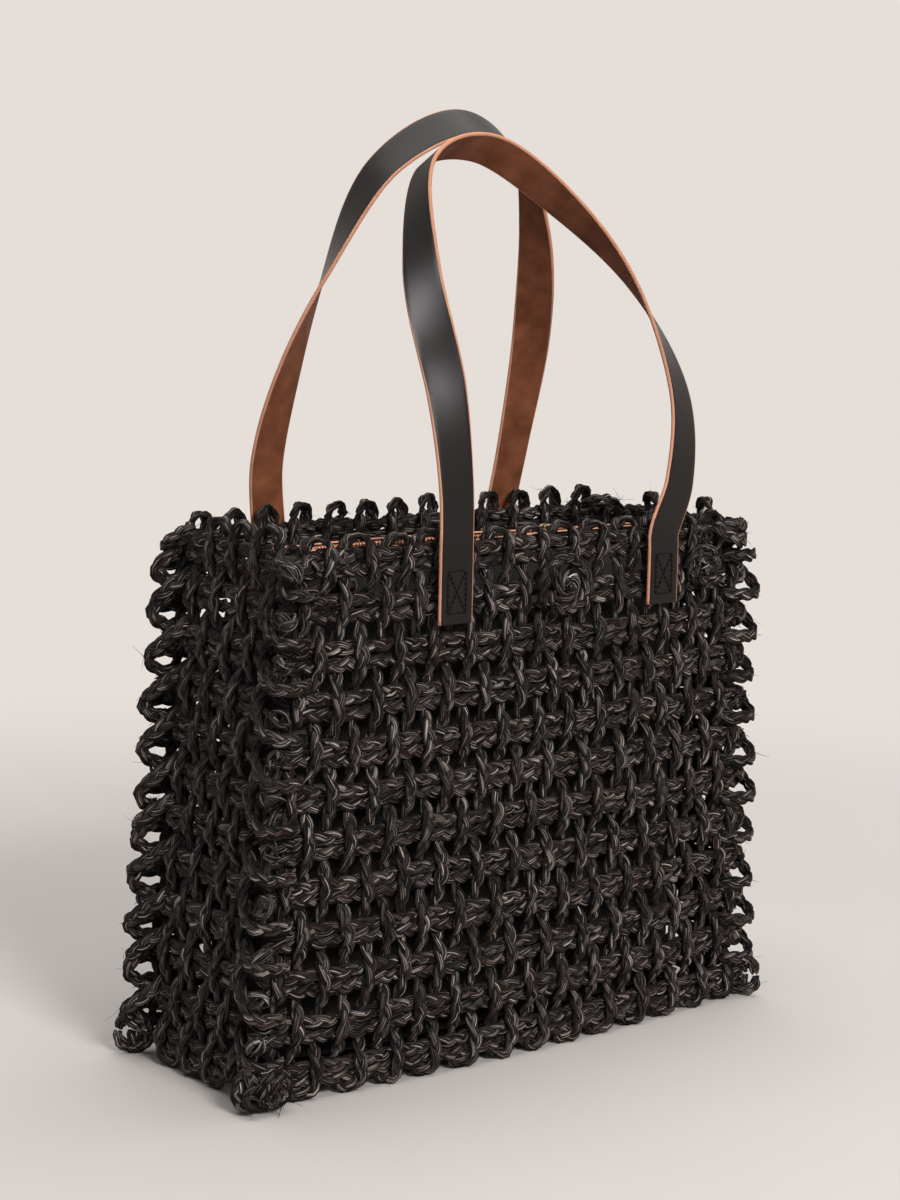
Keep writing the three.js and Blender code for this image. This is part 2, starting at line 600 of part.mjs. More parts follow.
// A leather tongue at each end of the zip bends along the inside of the side wall.
function tabShape(inner, outer) {
  const shape = new THREE.Shape();
  shape.moveTo(inner, 0).lineTo(outer - TAB.bend, 0).lineTo(outer, TAB.bend).lineTo(outer, TAB.reach);
  shape.lineTo(outer - TAB.thickness, TAB.reach).lineTo(outer - TAB.thickness, TAB.bend + TAB.thickness / 2);
  shape.lineTo(outer - TAB.bend - TAB.thickness / 2, TAB.thickness).lineTo(inner, TAB.thickness).closePath();
  return shape;
}
for (const [name, sign] of [['left', -1], ['right', 1]]) {
  const lean = sign * leanAt(tabLow);
  const outer = tabOuter + lean;
  const inner = pouchHalf + SEAT + lean;
  const tab = new THREE.ExtrudeGeometry(tabShape(inner, outer), { depth: TAB.height, bevelEnabled: false });
  if (sign < 0) {
    tab.rotateX(Math.PI);
    tab.translate(0, 0, TAB.height);
    tab.rotateZ(Math.PI);
  }
  tab.translate(0, 0, tabLow);
  addPiece(`${name}_end_tab`, tab, FINISH.trim);
}

// A short roll of leather is nested from inside in the gap between two rows of the front wall.
const rollShape = new THREE.Shape();
const rollStart = THREE.MathUtils.degToRad(ROLL.opening);
rollShape.absarc(0, 0, ROLL.outerRadius, rollStart, 2 * Math.PI, false);
rollShape.absarc(0, 0, ROLL.outerRadius - ROLL.thickness, 2 * Math.PI, rollStart, true);
const roll = new THREE.ExtrudeGeometry(rollShape, {
  depth: ROLL.length, bevelEnabled: false, curveSegments: 10,
});
roll.rotateY(Math.PI / 2);
const rollPiece = addPiece('front_leather_roll', roll, FINISH.trim);
const rollHeight = firstRow + ROLL.row * rowPitch;
const rollMiddle = ROLL.fromPouchEnd - pouchHalf;
const rollPlace = onWall(front, rollMiddle, rollHeight, ROLL.nested - (wallIn + SEAT + ROLL.outerRadius));
rollPiece.position.set(rollPlace.x - ROLL.length / 2, rollPlace.y, rollHeight);

export default model;
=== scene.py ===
# Looks of a woven grass tote bag: braided cords, two leather straps and a zipped cloth pouch.
# Metres, +Z up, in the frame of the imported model. The front wall faces -Y.
import math
import bpy
import numpy as np
from mathutils import Matrix, Vector


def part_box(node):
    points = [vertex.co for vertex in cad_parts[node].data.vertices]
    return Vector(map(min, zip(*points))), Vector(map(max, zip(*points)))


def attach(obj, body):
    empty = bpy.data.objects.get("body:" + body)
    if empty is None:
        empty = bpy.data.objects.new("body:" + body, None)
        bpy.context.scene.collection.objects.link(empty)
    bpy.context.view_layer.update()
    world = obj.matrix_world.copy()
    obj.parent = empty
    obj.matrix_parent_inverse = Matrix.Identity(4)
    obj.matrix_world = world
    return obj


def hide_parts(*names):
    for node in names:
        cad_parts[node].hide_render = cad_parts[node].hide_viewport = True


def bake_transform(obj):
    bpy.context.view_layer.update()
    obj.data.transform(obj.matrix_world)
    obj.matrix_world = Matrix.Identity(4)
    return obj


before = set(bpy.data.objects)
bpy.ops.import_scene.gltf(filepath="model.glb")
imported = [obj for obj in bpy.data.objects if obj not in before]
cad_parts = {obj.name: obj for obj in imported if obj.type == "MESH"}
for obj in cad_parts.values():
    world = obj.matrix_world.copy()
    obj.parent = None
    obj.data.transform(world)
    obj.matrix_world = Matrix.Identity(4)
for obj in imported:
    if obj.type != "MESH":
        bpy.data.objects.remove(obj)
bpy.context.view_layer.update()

# The photograph's viewpoint: where the camera stands, its angles, and its focal length in pixels.
CAMERA_PLACE = (-0.9846, -1.2073, 0.4999)
CAMERA_YAW = math.radians(38.96)
CAMERA_PITCH = math.radians(8.19)
CAMERA_ROLL = math.radians(1.24)
FOCAL_PIXELS = 2499
PHOTO_LONG_SIDE = 1200
SENSOR_MM = 36

# The woven box.
BAG_HEIGHT = 0.330
BASE_WIDTH = 0.404
MOUTH_WIDTH = 0.366
BAG_DEPTH = 0.138
MOUTH_LEAN = 0.006
BELLY = 0.012
BELLY_FADE = 0.6
WALL_OUT = 0.00802
BASE_OUT = 0.00814
SIDE_HALF = 0.05336
BASE_HALF_DEPTH = 0.05456
BASE_HALF_WIDTH = 0.18636
FIRST_ROW = 0.01545
TOP_ROW = 0.315
ROWS = 12
BASE_ROWS = 4
ROW_PITCH = (TOP_ROW - FIRST_ROW) / (ROWS - 1)
BASE_ROW_PITCH = 2 * (BASE_HALF_DEPTH - FIRST_ROW) / (BASE_ROWS - 1)
PAIR_HALF = 0.0042
EDGE_MARGIN = 0.016
WALL_WARPS = 27
SIDE_WARPS = 7

# The braids: overall width and thickness, and the length in which one strand returns.
WEFT_BRAID = {"width": 0.0086, "thickness": 0.0054, "period": 0.0330}
WARP_BRAID = {"width": 0.0082, "thickness": 0.0054, "period": 0.0350}
LACE_BRAID = {"width": 0.0084, "thickness": 0.0050, "period": 0.0300}
COIL_BRAID = {"width": 0.0078, "thickness": 0.0056, "period": 0.0260}
# A strand's half width is a share of the braid's width, its half height of the thickness. Its sides get painted
# shade, darker than its middle by SIDE_SHADE, and its fibres slant round it by FIBRE_SLANT.
STRAND_HALF_WIDTH = 0.31
STRAND_HALF_HEIGHT = 0.20
STRAND_STEP = 0.0025
STRAND_SIDES = 8
SQUARENESS = 0.72
SIDE_SHADE = 0.75
FIBRE_SLANT = 0.08
STRAY_RADIUS = (0.00010, 0.00024)
FRAY_RADIUS = (0.00016, 0.00034)
# The arches at the rim as shares across, up and out, and the turns at the hem as shares across and out.
ARCH_HEIGHT = 0.0035
ARCH_SHAPE = [(-0.02, 0.66, 0.6), (0.20, 0.93, 0.3), (0.50, 1.0, 0.0), (0.80, 0.93, -0.3), (1.02, 0.66, -0.6)]
HEM_SHAPE = [(0.22, 0.45), (0.78, -0.45)]
ROUTE_STEP = 0.00125
LEAST = 1e-6
FLOOR_CLEAR = 0.0002
STRAYS_PER_METRE = 40
ARCH_TILT = 0.9
LACE_STEPS = 16
LACE_OUTER_RADIUS = 0.0155
LACE_INNER_RADIUS = 0.0125
LACE_CORNER_INSET = 0.0085
LACE_BACK_SPARE = 0.0010
WARP_DEPTH = 0.0038
BUNCH_STRANDS = 8
WEFT_CRIMP = 0.0013

# The coils of spare cord on the front: centres as X and Z, and the low bundle's loops as half width,
# half height, shift and how far out.
ROSETTE_CENTRE = (0.020, 0.293)
SMALL_COIL_CENTRE = (0.142, 0.296)
BUNDLE_LOOPS = [(0.0085, 0.0095, 0.0, -0.0012), (0.0052, 0.0085, -0.0020, 0.0016),
                (0.0046, 0.0070, 0.0040, 0.0012)]

# The loops at each low corner: how far out the corner is, and each loop's half width, half height,
# shift and how far out.
FOOT_PLACE = (0.1990, 0.0655, 0.0150)
FOOT_LOOPS = [(0.0090, 0.0115, 0.0, 0.0010), (0.0050, 0.0095, -0.0035, 0.0038)]

# The straps, as X and Z from foot to foot.
STRAP_WIDTH = 0.0254
STRAP_THICKNESS = 0.0025
STRAP_FOOT_TOP = 0.312
STRAP_FOOT_LENGTH = 0.036
STRAP_BEND = 0.3206
STRAP_APEX_REACH = 0.0145
STRAP_APEX_TURN = math.radians(130)
STRAP_TURN_EASING = 1.4
STRAP_LEAN_EASING = 1.2
FRONT_FEET = (-0.066, 0.1015)
FRONT_OUTLINE = [(-0.062, 0.355), (-0.060, 0.410), (-0.065, 0.485), (-0.048, 0.545), (-0.002, 0.556),
                 (0.057, 0.522), (0.105, 0.471), (0.129, 0.405), (0.119, 0.352)]
BACK_FEET = (-0.095, 0.095)
BACK_OUTLINE = [(-0.101, 0.360), (-0.095, 0.415), (-0.080, 0.473), (-0.050, 0.543), (0.006, 0.572),
                (0.056, 0.553), (0.082, 0.508), (0.097, 0.440), (0.098, 0.365)]
STITCH_PITCH = 0.0031
STITCH_RADIUS = 0.00046
STITCH_SAG = 0.0003
STITCH_SINK = 0.00072
STITCH_MARGIN = 0.0005

# The pouch and its zip. SEAT is the gap between the zip's layers.
POUCH_WALL = 0.002
POUCH_HALF_LENGTH = 0.160
POUCH_TOP_HALF_LENGTH = 0.156
POUCH_HALF_DEPTH = 0.044
POUCH_FLOOR = 0.01569
POUCH_TOP = 0.3135
POUCH_SHOULDER = 0.88
POUCH_CORNER_POWER = 6
CLOTH_EASE = 0.001
CLOTH_THICKNESS = 0.0012
ZIP_CLOSED_FROM = 0.062
ZIP_HALF_LENGTH = 0.148
ZIP_OPEN_REACH = 0.013
ZIP_LENS_POWER = 0.8
ZIP_CLOSED_GAP = 0.0004
ZIP_ROW_TOP = 0.315
TOOTH_DEPTH = 0.0026
TOOTH_HEIGHT = 0.0034
TOOTH_PITCH = 0.0026
TAPE_THICKNESS = 0.001
TAPE_TOP = 0.314
TAPE_HEIGHT = 0.017
BINDING_THICKNESS = 0.0022
BINDING_TOP = 0.3165
BINDING_HEIGHT = 0.0175
SEAT = 0.0003
SLIDER_PLATE = 0.0018
SLIDER_WAIST = 0.16
SLIDER_BRIDGE_WIDTH = 0.0022
SLIDER_BRIDGE_THICKNESS = 0.0007
PULL_WAIST = 0.22
PULL_FORK = 0.0014
PULL_EYE_AT = 0.87
PULL_EYE_RADIUS = 0.0013
TAB_THICKNESS = 0.0024

# The uprights near PARTED on the front stand aside for the leather roll.
PARTING = 0.0060
PARTED = (-0.1395, 0.3010)
PARTING_REACH = (0.009, 0.014)

# The leather roll, from its outer turn to its heart.
ROLL_THICKNESS = 0.0013
ROLL_START = 60
ROLL_TURNS = 1.9
ROLL_HEART = 0.0014


def mix(a, b, t):
    return a + (b - a) * t


def smooth(t):
    t = np.clip(t, 0, 1)
    return t * t * (3 - 2 * t)


def unit(vectors):
    return vectors / np.maximum(np.linalg.norm(vectors, axis=-1, keepdims=True), 1e-12)


def even_spacing(points, step):
    """The same route with its points an even step apart."""
    lengths = np.linalg.norm(np.diff(points, axis=0), axis=1)
    reached = np.concatenate([[0], np.cumsum(lengths)])
    count = max(int(round(reached[-1] / step)), 2)
    wanted = np.linspace(0, reached[-1], count + 1)
    return np.stack([np.interp(wanted, reached, points[:, axis]) for axis in range(points.shape[1])], -1)


def spline(points, step):
    """Points an even step apart on the centripetal spline through the given ones."""
    points = np.asarray(points, float)
    held = np.vstack([2 * points[0] - points[1], points, 2 * points[-1] - points[-2]])
    runs = []
    for index in range(len(points) - 1):
        p0, p1, p2, p3 = held[index:index + 4]
        d0 = max(np.linalg.norm(p1 - p0), LEAST) ** 0.5
        d1 = max(np.linalg.norm(p2 - p1), LEAST) ** 0.5
        d2 = max(np.linalg.norm(p3 - p2), LEAST) ** 0.5
        leave = ((p1 - p0) / d0 - (p2 - p0) / (d0 + d1) + (p2 - p1) / d1) * d1
        arrive = ((p2 - p1) / d1 - (p3 - p1) / (d1 + d2) + (p3 - p2) / d2) * d1
        count = max(int(np.linalg.norm(p2 - p1) / step * 2), 4)
        t = np.linspace(0, 1, count, endpoint=False)[:, None]
        runs.append((2 * t**3 - 3 * t**2 + 1) * p1 + (t**3 - 2 * t**2 + t) * leave
                    + (3 * t**2 - 2 * t**3) * p2 + (t**3 - t**2) * arrive)
    return even_spacing(np.vstack(runs + [points[-1:]]), step)


def wandering(rng, length, wave):
    """A smooth random number between about -1 and 1 for each place along a length."""
    knots = max(int(length / wave), 1) + 4
    values = rng.uniform(-1, 1, knots)
    def at(s):
        t = np.clip(np.asarray(s) / wave, 0, knots - 2.001)
        low = t.astype(int)
        return mix(values[low], values[low + 1], smooth(t - low))
    return at


def drift_field(rng, wave):
    """A smooth random field over a panel, about -1 to 1."""
    waves = rng.normal(0, 2 * math.pi / wave, (6, 2))
    phases = rng.uniform(0, 2 * math.pi, 6)
    def field(a, b):
        return sum(np.sin(wa * a + wb * b + phase) for (wa, wb), phase in zip(waves, phases)) / 3
    return field


class Shell:
    """Gathers swept bodies into one mesh, with a UV of share round and metres along, a tone and a crown that places
    painted shade and highlight.
    """

    def __init__(self):
        self.points = []
        self.corners = []
        self.sizes = []
        self.uvs = []
        self.tones = []
        self.crowns = []
        self.slots = []
        self.count = 0

    def sweep(self, centre, across, through, section, tone=0.5, slots=0, start=0.0, crown=1.0, slip=0.0):
        """Lays a closed section, counter-clockwise in across and through, along a centreline."""
        section = np.broadcast_to(section, (len(centre),) + np.shape(section)[-2:])
        rings = centre[:, None] + across[:, None] * section[..., :1] + through[:, None] * section[..., 1:]
        n, k = rings.shape[:2]
        base = self.count
        ring, side = np.meshgrid(np.arange(n - 1), np.arange(k), indexing="ij")
        rows = np.stack([ring, ring, ring + 1, ring + 1], -1)
        columns = np.stack([side, side + 1, side + 1, side], -1)
        along = start + np.concatenate([[0], np.cumsum(np.linalg.norm(np.diff(centre, axis=0), axis=1))])
        turned = columns / k + np.broadcast_to(slip, n)[rows]
        self.points.append(rings.reshape(-1, 3))
        self.corners.append((base + rows * k + columns % k).reshape(-1))
        self.sizes.append(np.full((n - 1) * k, 4))
        self.uvs.append(np.stack([turned, along[rows]], -1).reshape(-1, 2))
        self.slots.append(np.broadcast_to(slots, (n - 1, k)).reshape(-1))
        for order, where in ((np.arange(k)[::-1], 0), (np.arange(k), n - 1)):
            self.corners.append(order + base + where * k)
            self.sizes.append(np.array([k]))
            self.uvs.append(np.stack([order / k, np.full(k, along[where])], -1))
            self.slots.append(np.array([np.max(slots)]))
        self.tones.append(np.full(n * k, tone))
        # Painted shade: the crown falls towards the sides of each section, as the shade on a rounded strand would.
        aside = np.abs(section[..., 0])
        shade = 1 - SIDE_SHADE * (aside / aside.max(axis=1, keepdims=True)) ** 2
        self.crowns.append((np.broadcast_to(crown, n)[:, None] * shade).reshape(-1))
        self.count += n * k

    def build(self, name, *materials):
        mesh = bpy.data.meshes.new(name)
        points = np.vstack(self.points)
        points[:, 2] = np.maximum(points[:, 2], FLOOR_CLEAR)
        corners = np.concatenate(self.corners)
        sizes = np.concatenate(self.sizes)
        mesh.vertices.add(len(points))
        mesh.vertices.foreach_set("co", points.astype(np.float32).ravel())
        mesh.loops.add(len(corners))
        mesh.loops.foreach_set("vertex_index", corners.astype(np.int32))
        mesh.polygons.add(len(sizes))
        mesh.polygons.foreach_set("loop_start", (np.cumsum(sizes) - sizes).astype(np.int32))
        mesh.polygons.foreach_set("material_index", np.concatenate(self.slots).astype(np.int32))
        mesh.polygons.foreach_set("use_smooth", np.ones(len(sizes), bool))
        mesh.update(calc_edges=True)
        layer = mesh.uv_layers.new(name="lay")
        layer.data.foreach_set("uv", np.vstack(self.uvs).astype(np.float32).ravel())
        for attribute, values in (("tone", self.tones), ("crown", self.crowns)):
            made = mesh.attributes.new(attribute, "FLOAT", "POINT")
            made.data.foreach_set("value", np.concatenate(values).astype(np.float32))
        for material in materials:
            mesh.materials.append(material)
        mesh.validate()
        piece = bpy.data.objects.new(name, mesh)
        bpy.context.scene.collection.objects.link(piece)
        return piece


def circle_section(sides):
    """A unit circle whose seam lies on the inner side."""
    angles = 2 * math.pi * np.arange(sides) / sides - math.pi / 2
    return np.stack([np.cos(angles), np.sin(angles)], -1)


def strand_section(sides):
    """A flattened, squarish unit outline, as a strand takes when it is pressed by its neighbours."""
    circle = circle_section(sides)
    return np.sign(circle) * np.abs(circle) ** SQUARENESS


def route_frame(centre, facing):
    """Across and through directions along a centreline whose outer side looks along facing."""
    along = unit(np.gradient(centre, axis=0))
    across = unit(np.cross(facing, along))
    return across, np.cross(along, across)


def scaled(outline, wide, tall):
    """A unit outline at each place of a route, at that place's half width and half height."""
    return outline[None] * np.stack(np.broadcast_arrays(wide, tall), -1)[:, None]


def lay_braid(shell, points, facing, width, thickness, period, rng):
    """Three flat strands that cross in turn, laid along a route."""
    across, through = route_frame(points, facing)
    reached = np.arange(len(points)) * ROUTE_STEP
    length = reached[-1]
    fullness = 1 + 0.09 * wandering(rng, length, 0.045)(reached)
    pace = wandering(rng, length, 0.08)(reached)
    angle = 2 * math.pi * reached / period + 0.9 * pace + rng.uniform(0, 2 * math.pi)
    every = max(int(round(STRAND_STEP / ROUTE_STEP)), 1)
    for strand in range(3):
        turn = angle + 2 * math.pi * strand / 3
        sway = 0.235 * width * fullness * np.sin(turn)
        rise = 0.25 * thickness * np.sin(2 * turn)
        wobble = 0.04 * width * wandering(rng, length, 0.012)(reached)
        centre = points + across * (sway + wobble)[:, None] + through * rise[:, None]
        centre = centre[::every]
        side, up = route_frame(centre, through[::every])
        bulk = 1 + 0.13 * wandering(rng, length, 0.009)(reached[::every])
        rank = np.arange(len(centre))
        ends = np.minimum(1, 0.35 + np.minimum(rank, rank[::-1]) * 0.3)
        wide = STRAND_HALF_WIDTH * width * fullness[::every] * bulk * ends
        tall = STRAND_HALF_HEIGHT * thickness / np.sqrt(bulk) * ends
        # Painted shade: the crown is low where a strand dips under the others and high on its top; the cord finish
        # darkens the colour where it is low and puts painted highlights where it is high.
        crown = smooth((np.abs(np.sin(2 * turn[::every])) + 0.15) / 0.6)
        slip = FIBRE_SLANT * np.sin(turn[::every])
        shell.sweep(centre, side, up, scaled(strand_section(STRAND_SIDES), wide, tall), rng.uniform(0, 1),
                    start=rng.uniform(0, 5), crown=crown, slip=slip)


def lay_hair(shell, path, facing, radii, rng, least=0.0, slot=0):
    """One loose fibre that thins towards its end."""
    side, up = route_frame(path, np.broadcast_to(facing, path.shape))
    radius = rng.uniform(*radii) * np.linspace(1, 0.3, len(path))
    section = scaled(circle_section(3), radius * 1.6, radius * 0.8)
    shell.sweep(path, side, up, section, rng.uniform(least, 1), slots=slot, start=rng.uniform(0, 5))


def lay_stray(shell, points, facing, count, rng, longest=0.011):
    """Loose fibres that leave a braid at a shallow angle."""
    steps = 7
    for _ in range(count):
        index = rng.integers(5, len(points) - 5)
        along = unit(points[index + 3] - points[index - 3]) * rng.choice([-1, 1])
        out = unit(facing[index] + rng.normal(0, 0.5, 3))
        length = rng.uniform(0.25, 1) ** 1.5 * longest
        start = points[index] + unit(facing[index]) * 0.0016 + rng.normal(0, 0.0012, 3)
        t = np.linspace(0, 1, steps)[:, None]
        curl = unit(rng.normal(0, 1, 3))
        path = start + length * (along * t + out * (0.2 * t + 0.5 * t * t) + curl * (0.65 * t * t - 0.2 * t**3))
        lay_hair(shell, path, out + curl * 0.3, STRAY_RADIUS, rng, 0.2)


def tilt_arches(points, facing, level):
    """Turns the flat side of the braid outwards where it arches over the rim above a level."""
    along = unit(np.gradient(points, axis=0))
    outward = unit(np.cross(along, facing))
    outward = outward * np.where(outward[:, 2:] < -0.2, -1, 1)
    share = ARCH_TILT * smooth((points[:, 2:] - level) / 0.008)
    return unit(facing * (1 - share) + outward * share)


def half_width(z):
    return mix(BASE_WIDTH, MOUTH_WIDTH, z / BAG_HEIGHT) / 2


def lean_at(z):
    return MOUTH_LEAN * (z / BAG_HEIGHT) ** 2


def belly_at(u, z):
    return BELLY * (1 - np.clip(u, -1, 1) ** 2) * (1 - BELLY_FADE * (z / BAG_HEIGHT) ** 2)


def wall_panel(sign, seed, arch=ARCH_HEIGHT, loop=0.002, parted=None):
    """The front or back wall: a runs across it, b runs up.

    Loop and spill let the weft out past the wall's two edges.
    """
    def place(a, b, out):
        u = a / (BASE_WIDTH / 2)
        y = BAG_DEPTH / 2 - WALL_OUT + belly_at(u, b) + out
        return np.stack([lean_at(b) + u * half_width(b), sign * y, b], -1)
    return {"place": place, "half": BASE_WIDTH / 2, "low": 0.0, "high": BAG_HEIGHT, "pitch": ROW_PITCH,
            "rows": FIRST_ROW + ROW_PITCH * np.arange(ROWS), "warps": WALL_WARPS, "seed": seed, "arch": arch,
            "loop": loop, "spill": 0.0035, "parted": parted}


def side_panel(sign, seed):
    """The left or right wall: a runs from front to back, b runs up."""
    def place(a, b, out):
        return np.stack([lean_at(b) + sign * (half_width(b) - WALL_OUT + out), a, b], -1)
    return {"place": place, "half": SIDE_HALF, "low": 0.0, "high": BAG_HEIGHT, "pitch": ROW_PITCH,
            "rows": FIRST_ROW + ROW_PITCH * np.arange(ROWS), "warps": SIDE_WARPS, "seed": seed, "arch": ARCH_HEIGHT,
            "loop": 0.0, "spill": 0.0}


def base_panel(seed):
    """The bottom: a runs across the bag, b from front to back."""
    def place(a, b, out):
        stretch = 1 + belly_at(a / (BASE_WIDTH / 2), 0) / BASE_HALF_DEPTH
        return np.stack([a, b * stretch, BASE_OUT - out], -1)
    rows = -BASE_HALF_DEPTH + FIRST_ROW + BASE_ROW_PITCH * np.arange(BASE_ROWS)
    return {"place": place, "half": BASE_HALF_WIDTH, "low": -BASE_HALF_DEPTH,
            "high": BASE_HALF_DEPTH - ARCH_HEIGHT, "pitch": BASE_ROW_PITCH, "rows": rows, "warps": WALL_WARPS,
            "seed": seed, "arch": ARCH_HEIGHT, "loop": 0.0, "spill": 0.0}


PANELS = {
    "front": wall_panel(-1, 11, arch=-0.0010, parted=PARTED),
    "back": wall_panel(1, 22, loop=0.012),
    "left": side_panel(-1, 33),
    "right": side_panel(1, 44),
    "base": base_panel(55),
}


def panel_route(panel, route):
    """Maps a route of across, up and out to space, with the panel's slow unevenness, and gives facings."""
    rng = np.random.default_rng(panel["seed"])
    shift_a, shift_b, shift_out = (drift_field(rng, wave) for wave in (0.16, 0.13, 0.11))
    a, b, out = route.T
    inside = smooth((b - panel["low"]) / 0.05) * smooth((panel["high"] - b) / 0.05 + 0.3)
    middle = smooth((panel["half"] - np.abs(a)) / 0.03)
    moved_a = a + 0.0022 * shift_a(a, b) * middle
    moved_b = b + 0.0016 * shift_b(a, b) * inside
    moved_out = out + 0.0012 * shift_out(a, b) * inside * middle
    points = panel["place"](moved_a, moved_b, moved_out)
    facing = panel["place"](moved_a, moved_b, moved_out + 0.001) - points
    return points, unit(facing)


def warp_place(panel):
    first = -(panel["half"] - EDGE_MARGIN)
    return first, -2 * first / (panel["warps"] - 1)


def weft_route(panel, rng):
    """Two runs to a row, a tight turn at one edge and a wide one up to the next row."""
    first, warp_pitch = warp_place(panel)
    reach = panel["half"] - WEFT_BRAID["width"] / 2
    wide = panel["pitch"] / 2 - PAIR_HALF
    route = []
    last = len(panel["rows"]) - 1
    for index, row in enumerate(panel["rows"]):
        parity = 1 if index % 2 == 0 else -1
        edge = reach + panel["spill"] - rng.uniform(0, 0.0025)
        begin = reach - wide
        stops = np.linspace(-begin, edge - PAIR_HALF, 2 * panel["warps"] + 1)
        crimp = -WEFT_CRIMP * parity * np.cos(math.pi * (stops - first) / warp_pitch)
        lower = row - PAIR_HALF + rng.uniform(-0.0004, 0.0004)
        upper = row + PAIR_HALF + rng.uniform(-0.0004, 0.0004)
        route.extend(zip(stops, np.full(len(stops), lower), crimp))
        for degrees in (-50, 0, 50):
            turn = math.radians(degrees)
            route.append((edge - PAIR_HALF + PAIR_HALF * math.cos(turn), row + PAIR_HALF * math.sin(turn), 0))
        route.extend(zip(stops[::-1], np.full(len(stops), upper), crimp[::-1]))
        if index < last:
            for degrees in (-55, 0, 55):
                turn = math.radians(degrees)
                out = rng.uniform(-0.001, 0.001)
                reach_out = (wide + panel["loop"]) * math.cos(turn)
                route.append((-begin - reach_out, row + panel["pitch"] / 2 + wide * math.sin(turn), out))
    return np.array(route)


def warp_route(panel, rng):
    """Runs that cross the rows on alternate faces, with arches at the far edge and turns at the near one."""
    first, pitch = warp_place(panel)
    near = panel["low"] + 0.0048
    rows = panel["rows"]
    far = panel["high"]
    route = []
    for run in range(panel["warps"]):
        a = first + run * pitch + rng.uniform(-0.0014, 0.0014)
        up = run % 2 == 0
        order = list(enumerate(rows)) if up else list(enumerate(rows))[::-1]
        step = 1 if up else -1
        for index, row in order:
            side = 1 if (index + run) % 2 == 0 else -1
            slant = rng.uniform(-0.0008, 0.0008)
            for share in (-0.85, 0.85):
                route.append((a + slant * share, row + step * share * PAIR_HALF, side * WARP_DEPTH))
            gap = row + step * panel["pitch"] / 2
            if rows[0] < gap < rows[-1]:
                route.append((a, gap, 0))
        leaving = side
        lean = rng.uniform(-0.001, 0.001)
        if up and run + 1 < panel["warps"]:
            crown = far + panel["arch"] + rng.uniform(-0.0015, 0.0015)
            for across, rise, out in ARCH_SHAPE:
                route.append((a + across * pitch + lean, mix(rows[-1], crown, rise), leaving * WARP_DEPTH * out))
        elif not up and run + 1 < panel["warps"]:
            for across, out in HEM_SHAPE:
                route.append((a + across * pitch, near, leaving * WARP_DEPTH * out))
    route = np.array(route)
    if panel.get("parted"):
        distance = (route[:, :2] - panel["parted"]) / PARTING_REACH
        route[:, 0] += PARTING * np.exp(-(distance ** 2).sum(axis=1))
    return route


# Node groups for effects that more than one finish uses.
def new_group(name, inputs, outputs):
    group = bpy.data.node_groups.new(name, "ShaderNodeTree")
    for socket, kind, value in inputs:
        made = group.interface.new_socket(socket, in_out="INPUT", socket_type=kind)
        if value is not None:
            made.default_value = value
    for socket, kind in outputs:
        group.interface.new_socket(socket, in_out="OUTPUT", socket_type=kind)
    return group, group.nodes.new("NodeGroupInput"), group.nodes.new("NodeGroupOutput")


def math_node(tree, operation, first, second=None):
    node = tree.nodes.new("ShaderNodeMath")
    node.operation = operation
    for socket, value in zip(node.inputs, (first, second)):
        if isinstance(value, (int, float)):
            socket.default_value = value
        elif value is not None:
            tree.links.new(value, socket)
    return node.outputs[0]


def noise_node(tree, vector, scale, detail=2.0, roughness=0.5, distortion=0.0):
    node = tree.nodes.new("ShaderNodeTexNoise")
    node.inputs["Scale"].default_value = scale
    node.inputs["Detail"].default_value = detail
    node.inputs["Roughness"].default_value = roughness
    node.inputs["Distortion"].default_value = distortion
    tree.links.new(vector, node.inputs["Vector"])
    return node.outputs["Fac"]


def range_node(tree, value, low, high, to_low=0.0, to_high=1.0):
    node = tree.nodes.new("ShaderNodeMapRange")
    node.inputs["From Min"].default_value = low
    node.inputs["From Max"].default_value = high
    node.inputs["To Min"].default_value = to_low
    node.inputs["To Max"].default_value = to_high
    tree.links.new(value, node.inputs["Value"])
    return node.outputs["Result"]


def mix_colour(tree, share, first, second):
    node = tree.nodes.new("ShaderNodeMix")
    node.data_type = "RGBA"
    for socket, value in ((node.inputs["Factor"], share), (node.inputs["A"], first), (node.inputs["B"], second)):
        if isinstance(value, bpy.types.NodeSocket):
            tree.links.new(value, socket)
        else:
            socket.default_value = value
    return node.outputs["Result"]


